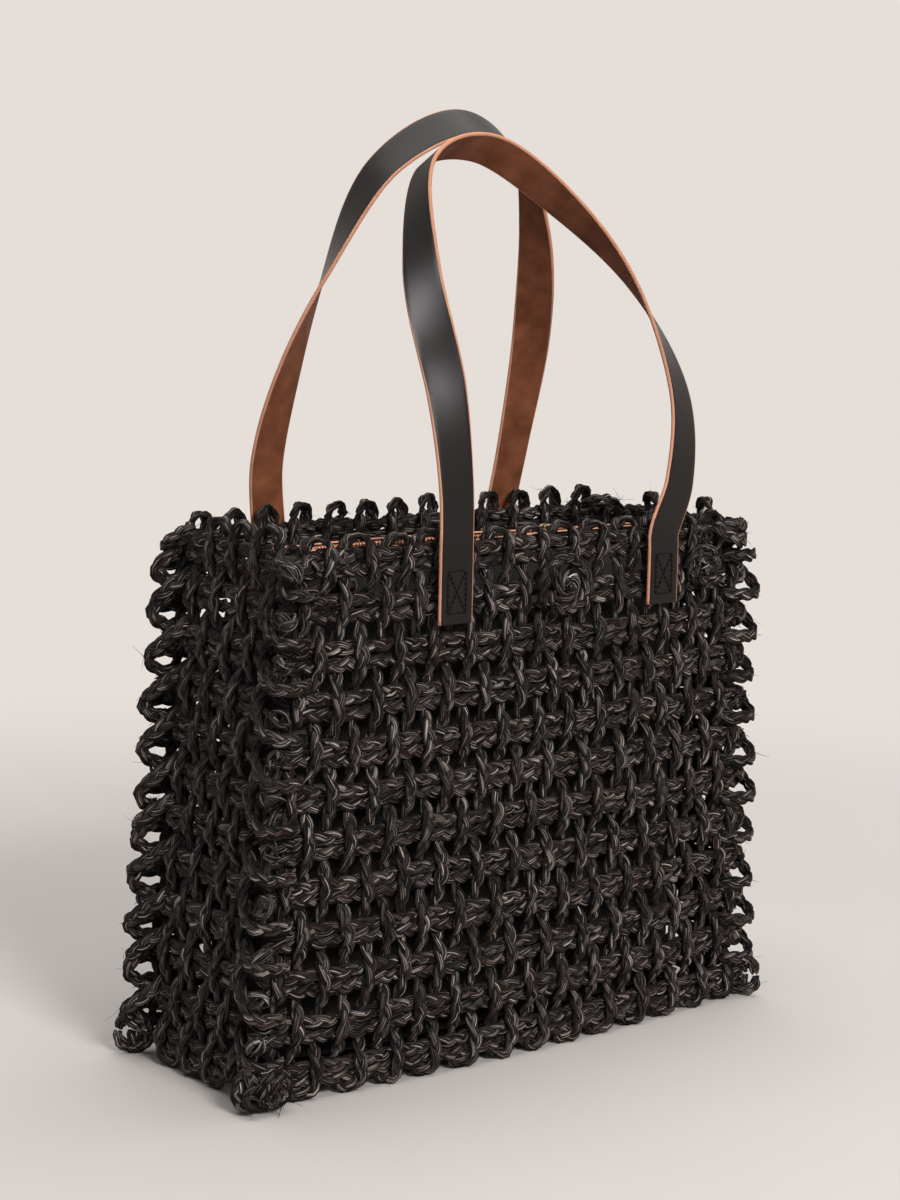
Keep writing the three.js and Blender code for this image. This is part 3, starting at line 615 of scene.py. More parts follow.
def fibre_group():
    """Fine lines along a strand: how bright each one is, where a pale one lies, and their height."""
    group, given, put = new_group(
        "fibre lines",
        [("Lines", "NodeSocketFloat", 20.0), ("Run", "NodeSocketFloat", 40.0)],
        [("Line", "NodeSocketFloat"), ("Bundle", "NodeSocketFloat"), ("Pale", "NodeSocketFloat"),
         ("Crown", "NodeSocketFloat"), ("Height", "NodeSocketFloat")])
    lay = group.nodes.new("ShaderNodeUVMap")
    lay.uv_map = "lay"
    split = group.nodes.new("ShaderNodeSeparateXYZ")
    group.links.new(lay.outputs["UV"], split.inputs[0])
    tone = group.nodes.new("ShaderNodeAttribute")
    tone.attribute_name = "tone"
    fine = group.nodes.new("ShaderNodeCombineXYZ")
    group.links.new(math_node(group, "MULTIPLY", split.outputs["X"], given.outputs["Lines"]), fine.inputs["X"])
    group.links.new(math_node(group, "MULTIPLY", split.outputs["Y"], given.outputs["Run"]), fine.inputs["Y"])
    group.links.new(math_node(group, "MULTIPLY", tone.outputs["Fac"], 60.0), fine.inputs["Z"])
    # The crown attribute carries painted shade, and says where painted highlights go.
    crown = group.nodes.new("ShaderNodeAttribute")
    crown.attribute_name = "crown"
    group.links.new(crown.outputs["Fac"], put.inputs["Crown"])
    line = noise_node(group, fine.outputs[0], 1.0, 1.0, 0.5)
    bundle = noise_node(group, fine.outputs[0], 0.33, 1.0)
    pale = range_node(group, noise_node(group, fine.outputs[0], 1.3, 1.0, 0.6), 0.56, 0.69)
    group.links.new(line, put.inputs["Line"])
    group.links.new(bundle, put.inputs["Bundle"])
    group.links.new(pale, put.inputs["Pale"])
    height = math_node(group, "ADD", line, math_node(group, "MULTIPLY", bundle, 1.4))
    group.links.new(height, put.inputs["Height"])
    return group


def leather_group():
    """Fine pebbling, slow tone and small creases of leather."""
    group, given, put = new_group(
        "leather surface",
        [("Pebble", "NodeSocketFloat", 1500.0), ("Cloud", "NodeSocketFloat", 40.0)],
        [("Tone", "NodeSocketFloat"), ("Speckle", "NodeSocketFloat"), ("Height", "NodeSocketFloat")])
    place = group.nodes.new("ShaderNodeTexCoord")
    pebble = group.nodes.new("ShaderNodeTexVoronoi")
    group.links.new(place.outputs["Object"], pebble.inputs["Vector"])
    group.links.new(given.outputs["Pebble"], pebble.inputs["Scale"])
    grain = group.nodes.new("ShaderNodeTexNoise")
    grain.inputs["Detail"].default_value = 4.0
    group.links.new(place.outputs["Object"], grain.inputs["Vector"])
    group.links.new(given.outputs["Pebble"], grain.inputs["Scale"])
    cloud = group.nodes.new("ShaderNodeTexNoise")
    cloud.inputs["Detail"].default_value = 3.0
    group.links.new(place.outputs["Object"], cloud.inputs["Vector"])
    group.links.new(given.outputs["Cloud"], cloud.inputs["Scale"])
    group.links.new(cloud.outputs["Fac"], put.inputs["Tone"])
    group.links.new(grain.outputs["Fac"], put.inputs["Speckle"])
    group.links.new(math_node(group, "ADD", pebble.outputs["Distance"], grain.outputs["Fac"]), put.inputs["Height"])
    return group


def twill_group():
    """Slanting ridges of a twill cloth with uneven threads."""
    group, given, put = new_group(
        "twill cloth", [("Ridges", "NodeSocketFloat", 420.0)],
        [("Ridge", "NodeSocketFloat"), ("Thread", "NodeSocketFloat")])
    place = group.nodes.new("ShaderNodeTexCoord")
    split = group.nodes.new("ShaderNodeSeparateXYZ")
    group.links.new(place.outputs["Object"], split.inputs[0])
    level = math_node(group, "ADD", split.outputs["X"], split.outputs["Y"])
    slant = math_node(group, "ADD", level, math_node(group, "MULTIPLY", split.outputs["Z"], 0.7))
    thread = noise_node(group, place.outputs["Object"], 900.0, 2.0)
    phase = math_node(group, "MULTIPLY", slant, given.outputs["Ridges"])
    wavy = math_node(group, "ADD", math_node(group, "MULTIPLY", phase, 2 * math.pi), thread)
    ridge = range_node(group, math_node(group, "SINE", wavy), -1.0, 1.0)
    group.links.new(ridge, put.inputs["Ridge"])
    group.links.new(thread, put.inputs["Thread"])
    return group


FIBRE = fibre_group()
LEATHER = leather_group()
TWILL = twill_group()


def finish(name, group=None, settings=(), **constants):
    """A material with its shader, and the effect that it uses. Constants go on the shader's own sockets."""
    material = bpy.data.materials.new(name)
    material.use_nodes = True
    tree = material.node_tree
    shader = tree.nodes["Principled BSDF"]
    for socket, value in constants.items():
        shader.inputs[socket.replace("_", " ")].default_value = value
    effect = None
    if group is not None:
        effect = tree.nodes.new("ShaderNodeGroup")
        effect.node_tree = group
        for socket, value in settings:
            effect.inputs[socket].default_value = value
    return material, tree, shader, effect


def add_bump(tree, shader, height, strength, distance):
    bump = tree.nodes.new("ShaderNodeBump")
    bump.inputs["Strength"].default_value = strength
    bump.inputs["Distance"].default_value = distance
    tree.links.new(height, bump.inputs["Height"])
    tree.links.new(bump.outputs["Normal"], shader.inputs["Normal"])


def cord_finish(name, dark, brown, fibre, pale, lines=22.0):
    """Dyed plant fibre: black between fine lines, brown bundles, pale fibre as painted highlights on the crowns,
    painted shade in the dips.
    """
    material, tree, shader, effect = finish(
        name, FIBRE, [("Lines", lines), ("Run", 24.0)], Specular_IOR_Level=0.10)
    browned = mix_colour(tree, range_node(tree, effect.outputs["Bundle"], 0.48, 0.62), dark, brown)
    lined = mix_colour(tree, range_node(tree, effect.outputs["Line"], 0.51, 0.59), browned, fibre)
    # Painted highlight: pale streaks go only on the crowns, where the strands would catch the light.
    wear_and_painted_glint = math_node(tree, "MULTIPLY", effect.outputs["Pale"], effect.outputs["Crown"])
    streaked = mix_colour(tree, wear_and_painted_glint, lined, pale)
    # Painted shade: the colour goes to the dark one where the crown is low, at the dips and sides of a strand.
    sunk_shade = range_node(tree, effect.outputs["Crown"], 0.1, 1.0, 0.06, 1.0)
    tree.links.new(mix_colour(tree, sunk_shade, dark, streaked), shader.inputs["Base Color"])
    gloss = math_node(tree, "MULTIPLY", range_node(tree, effect.outputs["Line"], 0.47, 0.57), sunk_shade)
    tree.links.new(range_node(tree, gloss, 0.0, 1.0, 0.80, 0.24), shader.inputs["Roughness"])
    add_bump(tree, shader, effect.outputs["Height"], 1.0, 0.0008)
    return material


def grain_finish(name, dark, light):
    """The smooth dyed side of the leather."""
    material, tree, shader, effect = finish(
        name, LEATHER, [("Pebble", 2300.0), ("Cloud", 34.0)], Specular_IOR_Level=0.25)
    tree.links.new(mix_colour(tree, effect.outputs["Tone"], dark, light), shader.inputs["Base Color"])
    tree.links.new(range_node(tree, effect.outputs["Speckle"], 0.3, 0.7, 0.30, 0.44), shader.inputs["Roughness"])
    add_bump(tree, shader, effect.outputs["Height"], 0.22, 0.0002)
    return material


def flesh_finish():
    """The brown suede side of the leather."""
    material, tree, shader, effect = finish(
        "leather_flesh_side", LEATHER, [("Pebble", 2600.0), ("Cloud", 70.0)],
        Specular_IOR_Level=0.12, Sheen_Weight=0.06, Sheen_Roughness=0.5)
    wear_and_painted_glint = mix_colour(tree, range_node(tree, effect.outputs["Tone"], 0.30, 0.74), FLESH_DARK, FLESH_LIGHT)
    nap = range_node(tree, effect.outputs["Speckle"], 0.58, 0.72, 0.0, 0.35)
    tree.links.new(mix_colour(tree, nap, wear_and_painted_glint, FLESH_NAP), shader.inputs["Base Color"])
    tree.links.new(range_node(tree, effect.outputs["Tone"], 0.3, 0.7, 0.92, 0.80), shader.inputs["Roughness"])
    add_bump(tree, shader, effect.outputs["Height"], 0.5, 0.0003)
    return material


def edge_finish():
    """The cut edge of the leather, paler than either side."""
    material, tree, shader, effect = finish(
        "leather_cut_edge", LEATHER, [("Pebble", 1800.0), ("Cloud", 120.0)], Specular_IOR_Level=0.3)
    tree.links.new(mix_colour(tree, effect.outputs["Tone"], EDGE_DARK, EDGE_LIGHT), shader.inputs["Base Color"])
    tree.links.new(range_node(tree, effect.outputs["Speckle"], 0.3, 0.7, 0.55, 0.75), shader.inputs["Roughness"])
    add_bump(tree, shader, effect.outputs["Height"], 0.5, 0.0003)
    return material


def cloth_finish(name, dark, light, ridges, depth):
    material, tree, shader, effect = finish(
        name, TWILL, [("Ridges", ridges)], Specular_IOR_Level=0.2, Sheen_Weight=0.15)
    tree.links.new(mix_colour(tree, effect.outputs["Ridge"], dark, light), shader.inputs["Base Color"])
    tree.links.new(range_node(tree, effect.outputs["Thread"], 0.3, 0.7, 0.95, 0.78), shader.inputs["Roughness"])
    add_bump(tree, shader, effect.outputs["Ridge"], 0.7, depth)
    return material


def metal_finish(name, dark, light, low, high):
    """Aged metal, duller where the tone is dark."""
    material, tree, shader, effect = finish(
        name, LEATHER, [("Pebble", 900.0), ("Cloud", 260.0)], Metallic=1.0)
    tree.links.new(mix_colour(tree, effect.outputs["Tone"], dark, light), shader.inputs["Base Color"])
    tree.links.new(range_node(tree, effect.outputs["Tone"], 0.3, 0.7, high, low), shader.inputs["Roughness"])
    add_bump(tree, shader, effect.outputs["Speckle"], 0.15, 0.0002)
    return material


BACKDROP = (0.79, 0.735, 0.69, 1)
FLOOR_DARK = (0.64, 0.590, 0.555, 1)
FLOOR_LIGHT = (0.72, 0.670, 0.635, 1)
FLESH_DARK = (0.150, 0.045, 0.018, 1)
FLESH_LIGHT = (0.300, 0.100, 0.044, 1)
FLESH_NAP = (0.45, 0.22, 0.13, 1)
EDGE_DARK = (0.54, 0.225, 0.130, 1)
EDGE_LIGHT = (0.78, 0.37, 0.22, 1)

# The cord's pale colour goes on the crowns as painted highlight.
CORD = cord_finish("grass_cord", (0.0006, 0.0005, 0.0005, 1), (0.0270, 0.0111, 0.0073, 1),
                   (0.0390, 0.0312, 0.0278, 1), (0.640, 0.545, 0.495, 1))
# Frayed fibre: paler fibre, made brighter still as painted highlight on the bunches and whorls.
FRAYED_AND_GLINT = cord_finish("frayed_grass_fibre_and_painted_glint", (0.0016, 0.0013, 0.0012, 1), (0.0220, 0.0130, 0.0095, 1),
                     (0.1400, 0.1200, 0.1080, 1), (0.700, 0.640, 0.600, 1), 8.0)
GRAIN = grain_finish("leather_grain_side", (0.0040, 0.0022, 0.0018, 1), (0.0070, 0.0042, 0.0034, 1))
FLESH = flesh_finish()
EDGE = edge_finish()
THREAD = cord_finish("waxed_thread", (0.0030, 0.0028, 0.0028, 1), (0.008, 0.007, 0.0065, 1),
                     (0.012, 0.011, 0.0105, 1), (0.03, 0.028, 0.027, 1), 6.0)
CLOTH = cloth_finish("pouch_twill", (0.0065, 0.0045, 0.0038, 1), (0.0175, 0.0115, 0.0090, 1), 420.0, 0.0006)
TAPE = cloth_finish("zip_tape_cloth", (0.13, 0.118, 0.108, 1), (0.30, 0.275, 0.255, 1), 900.0, 0.0003)
TEETH = metal_finish("zip_tooth_copper", (0.30, 0.115, 0.065, 1), (0.62, 0.30, 0.19, 1), 0.26, 0.42)
METAL = metal_finish("zip_pull_brass", (0.22, 0.14, 0.075, 1), (0.55, 0.39, 0.22, 1), 0.24, 0.40)


def add_piece(shell, name, body, slot, nodes, *materials):
    piece = shell.build(name, *materials)
    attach(piece, body)
    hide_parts(*nodes)
    return piece


def make_weave():
    """The braided cords of the five panels."""
    for name, panel in PANELS.items():
        rng = np.random.default_rng(panel["seed"] + 1000)
        for kind, route_of, sizes in (("weft", weft_route, WEFT_BRAID), ("warp", warp_route, WARP_BRAID)):
            shell = Shell()
            route = spline(route_of(panel, rng), ROUTE_STEP)
            points, facing = panel_route(panel, route)
            if kind == "warp" and name != "base":
                facing = tilt_arches(points, facing, TOP_ROW + 0.007)
            lay_braid(shell, points, facing, rng=rng, **sizes)
            add_piece(shell, f"{name}_{kind}_braid", "bag", "cord", [f"{name}_{kind}_cord"], CORD)
            if name != "base":
                loose = Shell()
                lay_stray(loose, points, facing, int(len(points) * ROUTE_STEP * STRAYS_PER_METRE), rng)
                add_piece(loose, f"{name}_{kind}_loose_fibres", "bag", "cord", [], CORD)


def lace_route(side_sign, wall_sign):
    """Turns round an upright corner: level inside the bag at a gap, and climbing a row outside it."""
    points = []
    facings = []
    rng = np.random.default_rng(31 + side_sign + 5 * wall_sign)
    outer = LACE_OUTER_RADIUS + (LACE_BACK_SPARE if wall_sign > 0 else 0)
    for gap in range(ROWS - 1):
        level = FIRST_ROW + (gap + 0.5) * ROW_PITCH + rng.uniform(-0.002, 0.002)
        loose = rng.uniform(-0.0035, 0.0010)
        lie = rng.uniform(-0.25, 0.25)
        for step in range(LACE_STEPS):
            turn = step / LACE_STEPS
            climbing = gap + 1 < ROWS - 1
            if turn > 0.5 and not climbing:
                break
            inward = float(smooth(math.sin(2 * math.pi * turn) * 0.5 + 0.5))
            z = level + ROW_PITCH * float(smooth((turn - 0.5) * 2))
            angle = 2 * math.pi * turn + math.pi * 3 / 4 + lie * math.sin(math.pi * turn)
            radius = mix(outer + loose * math.sin(math.pi * turn), LACE_INNER_RADIUS, inward)
            reach_x = half_width(z) - LACE_CORNER_INSET
            reach_y = BAG_DEPTH / 2 - LACE_CORNER_INSET
            out = np.array([side_sign * math.cos(angle), wall_sign * -math.sin(angle), 0])
            points.append(np.array([side_sign * reach_x + lean_at(z), wall_sign * reach_y, z]) + out * radius)
            facings.append(out)
    return np.array(points), np.array(facings)


def lay_strand(shell, path, facing, wide, tall, rng, slot=0):
    """One flattened strand with thin ends along a path."""
    side, up = route_frame(path, facing)
    share = np.linspace(0, 1, len(path))
    ends = 0.25 + 0.75 * smooth(np.minimum(share, 1 - share) / 0.2)
    section = scaled(strand_section(STRAND_SIDES), wide * ends, tall * ends)
    shell.sweep(path, side, up, section, rng.uniform(0, 1), slots=slot, start=rng.uniform(0, 5))


def lay_knot(shell, centre, size, rng, slot=0, lean=None):
    """A small bunch of short flattened strands: bent over each other, or fanned along a direction."""
    centre = np.array(centre, float)
    t = np.linspace(-1, 1, 15)[:, None]
    for _ in range(BUNCH_STRANDS):
        along = unit(rng.normal(0, 1, 3) if lean is None else lean + rng.normal(0, 0.34, 3))
        out = unit(np.cross(along, rng.normal(0, 1, 3)))
        bow = rng.uniform(0.35, 0.75)
        path = centre + size * (along * 0.95 * t + out * bow * (1 - 1.2 * t * t))
        lay_strand(shell, path, unit(path - centre + out * size * 0.5), 0.20 * size, 0.11 * size, rng, slot)
    lay_fray(shell, centre, size, BUNCH_STRANDS, rng)


def lay_fray(shell, centre, size, count, rng):
    """Loose fibre ends that stand out from a bunch and curl over."""
    t = np.linspace(0, 1, 6)[:, None]
    for _ in range(count):
        out = unit(rng.normal(0, 1, 3))
        over = unit(np.cross(out, rng.normal(0, 1, 3)))
        path = centre + size * (out * (0.4 + 0.8 * t - 0.2 * t * t) + over * 0.6 * t * t)
        lay_hair(shell, path, over, FRAY_RADIUS, rng, slot=1)


def lay_whorl(shell, centre, outer, inner, strands, height, rng):
    """Flattened strands that spiral in to a centre, facing the front."""
    t = np.linspace(0, 1, 26)[:, None]
    for strand in range(strands):
        turn = 2 * math.pi * strand / strands + rng.uniform(-0.2, 0.2)
        sweep = rng.uniform(1.6, 4.4)
        angle = turn + sweep * t
        radius = mix(outer, inner, t ** 0.8)
        rise = height * np.sin(math.pi * np.clip(t * 1.1, 0, 1))
        path = centre + np.concatenate([radius * np.cos(angle), -rise, radius * np.sin(angle)], -1)
        facing = unit(np.broadcast_to([0.0, -1.0, 0.0], path.shape) + 0.5 * unit(path - centre))
        lay_strand(shell, path, facing, rng.uniform(0.0011, 0.0021), 0.0009, rng, strand % 2)


def lay_ring(shell, centre, radius, normal, turns, rng, sizes):
    """A ring of braid about a centre, wound a little more than once."""
    normal = unit(np.array(normal, float))
    first = unit(np.cross(normal, [0.3, 0.2, 1.0]))
    second = np.cross(normal, first)
    t = np.linspace(0, 2 * math.pi * turns, int(60 * turns))[:, None] + rng.uniform(0, 6.28)
    rise = np.linspace(-0.5, 0.5, len(t))[:, None] * 0.004 * turns
    swell = 1 + 0.12 * np.sin(2 * t + rng.uniform(0, 6))
    route = np.array(centre) + (first * np.cos(t) + second * np.sin(t)) * radius * swell + normal * rise
    points = even_spacing(route, ROUTE_STEP)
    facing = unit(points - np.array(centre) + normal * radius * 0.6)
    lay_braid(shell, points, facing, rng=rng, **sizes)
    lay_stray(shell, points, facing, int(14 * turns), rng, 0.012)


def lay_corner_foot(shell, side_sign, wall_sign, rng):
    """Upright loops of cord drawn together at a low corner, with a bunch over them."""
    out = unit(np.array([side_sign, wall_sign, 0.0]))
    aside = np.array([-out[1], out[0], 0.0])
    if side_sign * wall_sign < 0:
        out, aside = aside * side_sign, out
    centre = np.array([side_sign * FOOT_PLACE[0], wall_sign * FOOT_PLACE[1], FOOT_PLACE[2]])
    t = np.linspace(0, 2 * math.pi, 60)[:, None]
    for wide, tall, shift, reach in FOOT_LOOPS:
        loop = aside * (shift + wide * np.cos(t) * (1 - 0.3 * np.sin(t))) + out * (reach + 0.0012 * np.sin(2 * t))
        loop = loop + np.array([0.0, 0.0, 1.0]) * tall * np.sin(t)
        route = even_spacing(centre + loop, ROUTE_STEP)
        lay_braid(shell, route, np.broadcast_to(out, route.shape), rng=rng, **COIL_BRAID)
        lay_stray(shell, route, np.broadcast_to(out, route.shape), 16, rng, 0.010)
    lay_knot(shell, centre + out * 0.004 + [0, 0, 0.0075], 0.0060, rng, 1)


def make_laces():
    """The cord that winds up each upright corner through the gaps of both walls, with its knots."""
    for wall_name, wall_sign in (("front", -1), ("back", 1)):
        for side_name, side_sign in (("left", -1), ("right", 1)):
            rng = np.random.default_rng(7 + 3 * wall_sign + side_sign)
            route, facing = lace_route(side_sign, wall_sign)
            both = spline(np.hstack([route, facing * LEAST]), ROUTE_STEP)
            points, facing = both[:, :3], unit(both[:, 3:])
            shell = Shell()
            lay_braid(shell, points, facing, rng=rng, **LACE_BRAID)
            lay_stray(shell, points, facing, 70, rng, 0.012)
            for row in range(ROWS):
                z = FIRST_ROW + row * ROW_PITCH + rng.uniform(-0.004, 0.004)
                spare = 0.0005 if wall_sign < 0 and side_sign < 0 else -0.0070
                reach = half_width(z) + spare
                middle = np.array([side_sign * reach + lean_at(z), wall_sign * (BAG_DEPTH / 2 + spare), z])
                aside = np.array([-side_sign * 0.7, wall_sign * 0.7, rng.choice([-0.8, 0.8])])
                lay_knot(shell, middle, rng.uniform(0.0070, 0.0085), rng, 1, aside)
                lay_knot(shell, middle + rng.uniform(-0.004, 0.004, 3), 0.0062, rng, 0, aside * [1, 1, -1])
            lay_corner_foot(shell, side_sign, wall_sign, rng)
            rim = np.array([side_sign * (half_width(0.322) - 0.012), wall_sign * 0.060, 0.3185])
            size = 0.0150 if side_sign > 0 else 0.0095
            lay_ring(shell, rim, size, (0.35 * side_sign, wall_sign * 0.45, 0.9), 1.35, rng, LACE_BRAID)
            for shift in (0.010, 0.022, 0.031):
                bunch = rim + np.array([-shift * side_sign, 0.003 * wall_sign, rng.uniform(-0.004, 0.002)])
                lay_knot(shell, bunch, rng.uniform(0.0060, 0.0085), rng, 1)
            add_piece(shell, f"{wall_name}_{side_name}_corner_braid", "bag", "cord",
                      [f"{wall_name}_{side_name}_corner_lace"], CORD, FRAYED_AND_GLINT)


def strap_route(outline, feet, wall, sign):
    """Centreline and facing of a strap, foot bottom to foot bottom, as the solid has them."""
    foot_low, foot_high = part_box(wall)
    foot_y = (foot_low.y + foot_high.y) / 2
    start = STRAP_FOOT_TOP
    route = [(feet[0], start), (feet[0], STRAP_BEND), *outline, (feet[1], STRAP_BEND), (feet[1], start)]
    curve = spline([(x, 0, z) for x, z in route], 0.001)
    t = np.linspace(0, 1, len(curve))
    apex = max(z for _, z in outline)
    rise = np.clip((curve[:, 2] - STRAP_BEND) / (apex - STRAP_BEND), 0, 1) ** STRAP_LEAN_EASING
    curve[:, 1] = mix(foot_y, sign * STRAP_APEX_REACH, rise)
    tangent = unit(np.gradient(curve[:, [0, 2]], axis=0))
    outward = np.stack([-tangent[:, 1], np.zeros(len(curve)), tangent[:, 0]], -1)
    turn = STRAP_APEX_TURN * smooth(1 - np.abs(2 * t - 1)) ** STRAP_TURN_EASING
    facing = np.array([0, sign, 0]) * np.cos(turn)[:, None] + outward * np.sin(turn)[:, None]
    down = np.arange(STRAP_FOOT_TOP - STRAP_FOOT_LENGTH, start, 0.001)
    left = np.stack([np.full(len(down), feet[0]), np.full(len(down), foot_y), down], -1)
    right = np.stack([np.full(len(down), feet[1]), np.full(len(down), foot_y), down], -1)[::-1]
    flat = np.broadcast_to([0.0, sign, 0.0], (len(down), 3))
    return np.vstack([left, curve, right]), np.vstack([flat, facing, flat])


def strap_section(width, thickness, edge):
    """A rounded strip: a flat grain side, a flat flesh side and two rounded cut edges, with their slots."""
    across = np.linspace(-1, 1, 9) * (width / 2 - edge)
    bulge = [(math.cos(turn), math.sin(turn)) for turn in np.radians([-60, -20, 20, 60])]
    half = thickness / 2
    points = [(x, -half) for x in across]
    points += [(width / 2 - edge + edge * c, half * s) for c, s in bulge]
    points += [(x, half) for x in across[::-1]]
    points += [(-(width / 2 - edge) - edge * c, half * -s) for c, s in bulge]
    slots = [1] * (len(across) - 1) + [2] * 5 + [0] * (len(across) - 1) + [2] * 5
    return np.array(points), np.array(slots)


def make_straps():
    section, slots = strap_section(STRAP_WIDTH, STRAP_THICKNESS, 0.0011)
    straps = (("front", FRONT_OUTLINE, FRONT_FEET, -1), ("back", BACK_OUTLINE, BACK_FEET, 1))
    for name, outline, feet, sign in straps:
        route, facing = strap_route(outline, feet, f"{name}_handle_left_foot", sign)
        route = even_spacing(np.hstack([route, facing]), 0.003)
        centre, facing = route[:, :3], unit(route[:, 3:])
        across, through = route_frame(centre, facing)
        shell = Shell()
        shell.sweep(centre, across, through, section, slots=slots)
        strap = shell.build(f"{name}_strap_leather", GRAIN, FLESH, EDGE)
        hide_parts(f"{name}_handle", f"{name}_handle_left_foot", f"{name}_handle_right_foot")
        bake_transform(strap)


def stitch_line(shell, start, end, rng):
    """A row of short stitches from one point to another, bowed a little outwards."""
    count = max(int(np.linalg.norm(end - start) / STITCH_PITCH), 1)
    way = (end - start) / count
    out = np.array([0.0, np.sign(start[1]), 0.0])
    t = np.linspace(0.10, 0.90, 5)[:, None]
    sag = np.sin(math.pi * np.linspace(0, 1, 5))[:, None] * STITCH_SAG
    radius = STITCH_RADIUS * np.array([0.55, 0.95, 1.0, 0.95, 0.55])
    section = scaled(circle_section(6), radius, radius * 0.8)
    for index in range(count):
        path = start + way * (index + t) + sag * out
        across, through = route_frame(path, np.broadcast_to(out, path.shape))
        shell.sweep(path, across, through, section, rng.uniform(0, 1))


def make_stitches():
    """A sewn box with a cross on each strap foot."""
    for name in ("front_handle_left", "front_handle_right", "back_handle_left", "back_handle_right"):
        low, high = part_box(f"{name}_stitches")
        outer = low.y if low.y < 0 else high.y
        y = outer - math.copysign(STITCH_SINK, outer)
        x0 = low.x + STITCH_MARGIN
        x1 = high.x - STITCH_MARGIN
        z0 = low.z + STITCH_MARGIN
        z1 = high.z - STITCH_MARGIN
        rng = np.random.default_rng(len(name) + int(1000 * abs(x0)))
        shell = Shell()
        corners = np.array([(x0, y, z0), (x1, y, z0), (x1, y, z1), (x0, y, z1)])
        for first, second in ((0, 1), (1, 2), (2, 3), (3, 0), (0, 2), (1, 3)):
            stitch_line(shell, corners[first], corners[second], rng)
        add_piece(shell, f"{name}_seam", "bag", "stitch_thread", [f"{name}_stitches"], THREAD)


def zip_lens(x):
    """Half the gap between the two rows of teeth at a place along the zip."""
    t = np.clip((ZIP_CLOSED_FROM - x) / (ZIP_CLOSED_FROM + ZIP_HALF_LENGTH), 0, 1)
    return ZIP_CLOSED_GAP + ZIP_OPEN_REACH * np.sin(math.pi * t) ** ZIP_LENS_POWER


def zip_strip(side, reach, thickness, low, high, edge, count=150):
    """An upright strip along one edge of the zip, as centreline, frame and section."""
    x = np.linspace(-ZIP_HALF_LENGTH, ZIP_HALF_LENGTH, count)
    y = side * (zip_lens(x) + reach + thickness / 2)
    centre = np.stack([x + lean_at(ZIP_ROW_TOP), y, np.full(count, (low + high) / 2)], -1)
    facing = np.broadcast_to([0.0, float(side), 0.0], centre.shape)
    across, through = route_frame(centre, facing)
    section, slots = strap_section(high - low, thickness, edge)
    return centre, across, through, section, slots


def make_zip():
    tape_reach = TOOTH_DEPTH + SEAT
    binding_reach = tape_reach + TAPE_THICKNESS + SEAT
    for name, side in (("front", -1), ("back", 1)):
        shell = Shell()
        centre, across, through, section, slots = zip_strip(
            side, binding_reach, BINDING_THICKNESS, BINDING_TOP - BINDING_HEIGHT, BINDING_TOP, 0.0008)
        shell.sweep(centre, across, through, section, slots=slots)
        add_piece(shell, f"zip_{name}_leather_edge", "bag", "trim_leather", [f"zip_{name}_binding"], GRAIN, GRAIN, EDGE)
        shell = Shell()
        centre, across, through, section, slots = zip_strip(
            side, tape_reach, TAPE_THICKNESS, TAPE_TOP - TAPE_HEIGHT, TAPE_TOP, 0.0003)
        shell.sweep(centre, across, through, section)
        add_piece(shell, f"zip_{name}_cloth_tape", "bag", "zip_tape", [f"zip_{name}_tape"], TAPE)
        make_teeth(name, side)


def make_teeth(name, side):
    """One metal tooth after another, each clamped on the cord of the tape."""
    shell = Shell()
    half = ZIP_HALF_LENGTH - 0.0043
    teeth = int(2 * half / TOOTH_PITCH)
    shift = 0 if side > 0 else TOOTH_PITCH / 2
    for tooth in range(teeth - 1):
        x = -half + (tooth + 0.5) * TOOTH_PITCH + shift
        root = side * (zip_lens(x) + TOOTH_DEPTH)
        reach = np.array([0.0, 0.25, 0.8, 1.0]) * TOOTH_DEPTH
        centre = np.stack([np.full(4, x + lean_at(ZIP_ROW_TOP)), root - side * reach,
                           np.full(4, ZIP_ROW_TOP - TOOTH_HEIGHT / 2)], -1)
        tall = TOOTH_HEIGHT / 2 * np.array([1.0, 1.0, 0.8, 0.45])
        wide = TOOTH_PITCH * 0.5 * np.array([0.55, 0.62, 0.66, 0.4])
        across, through = route_frame(centre, np.broadcast_to([0.0, 0.0, 1.0], centre.shape))
        corners = np.array([(-1, -0.7), (-0.7, -1), (0.7, -1), (1, -0.7), (1, 0.7), (0.7, 1), (-0.7, 1), (-1, 0.7)])
        section = corners[None] * np.stack([wide, tall], -1)[:, None]
        shell.sweep(centre, across, through, section)
    piece = add_piece(shell, f"zip_{name}_tooth_row", "bag", "zip_teeth", [f"zip_{name}_teeth"], TEETH)
    piece.data.polygons.foreach_set("use_smooth", np.zeros(len(piece.data.polygons), bool))


def rounded_outline(half_length, half_width, corner, steps=5):
    """A rectangle with round corners about zero, as points counter-clockwise."""
    points = []
    for turn, sx, sy in ((0, 1, 1), (90, -1, 1), (180, -1, -1), (270, 1, -1)):
        for step in range(steps + 1):
            angle = math.radians(turn + 90 * step / steps)
            points.append((sx * (half_length - corner) + corner * math.cos(angle),
                           sy * (half_width - corner) + corner * math.sin(angle)))
    return np.array(points)


def lay_plate(shell, outline, low, high, rim, place):
    """A flat plate with rounded rims, from an outline seen from above."""
    levels = [(low, -rim), (low + rim * 0.3, -rim * 0.3), (low + rim, 0.0), (high - rim, 0.0),
              (high - rim * 0.3, -rim * 0.3), (high, -rim)]
    centre = np.array([(place[0], place[1], place[2] + level) for level, _ in levels])
    across = np.broadcast_to([1.0, 0.0, 0.0], centre.shape)
    through = np.broadcast_to([0.0, 1.0, 0.0], centre.shape)
    size = np.abs(outline).max(axis=0)
    section = np.stack([outline * (size + grow) / size for _, grow in levels])
    shell.sweep(centre, across, through, section)


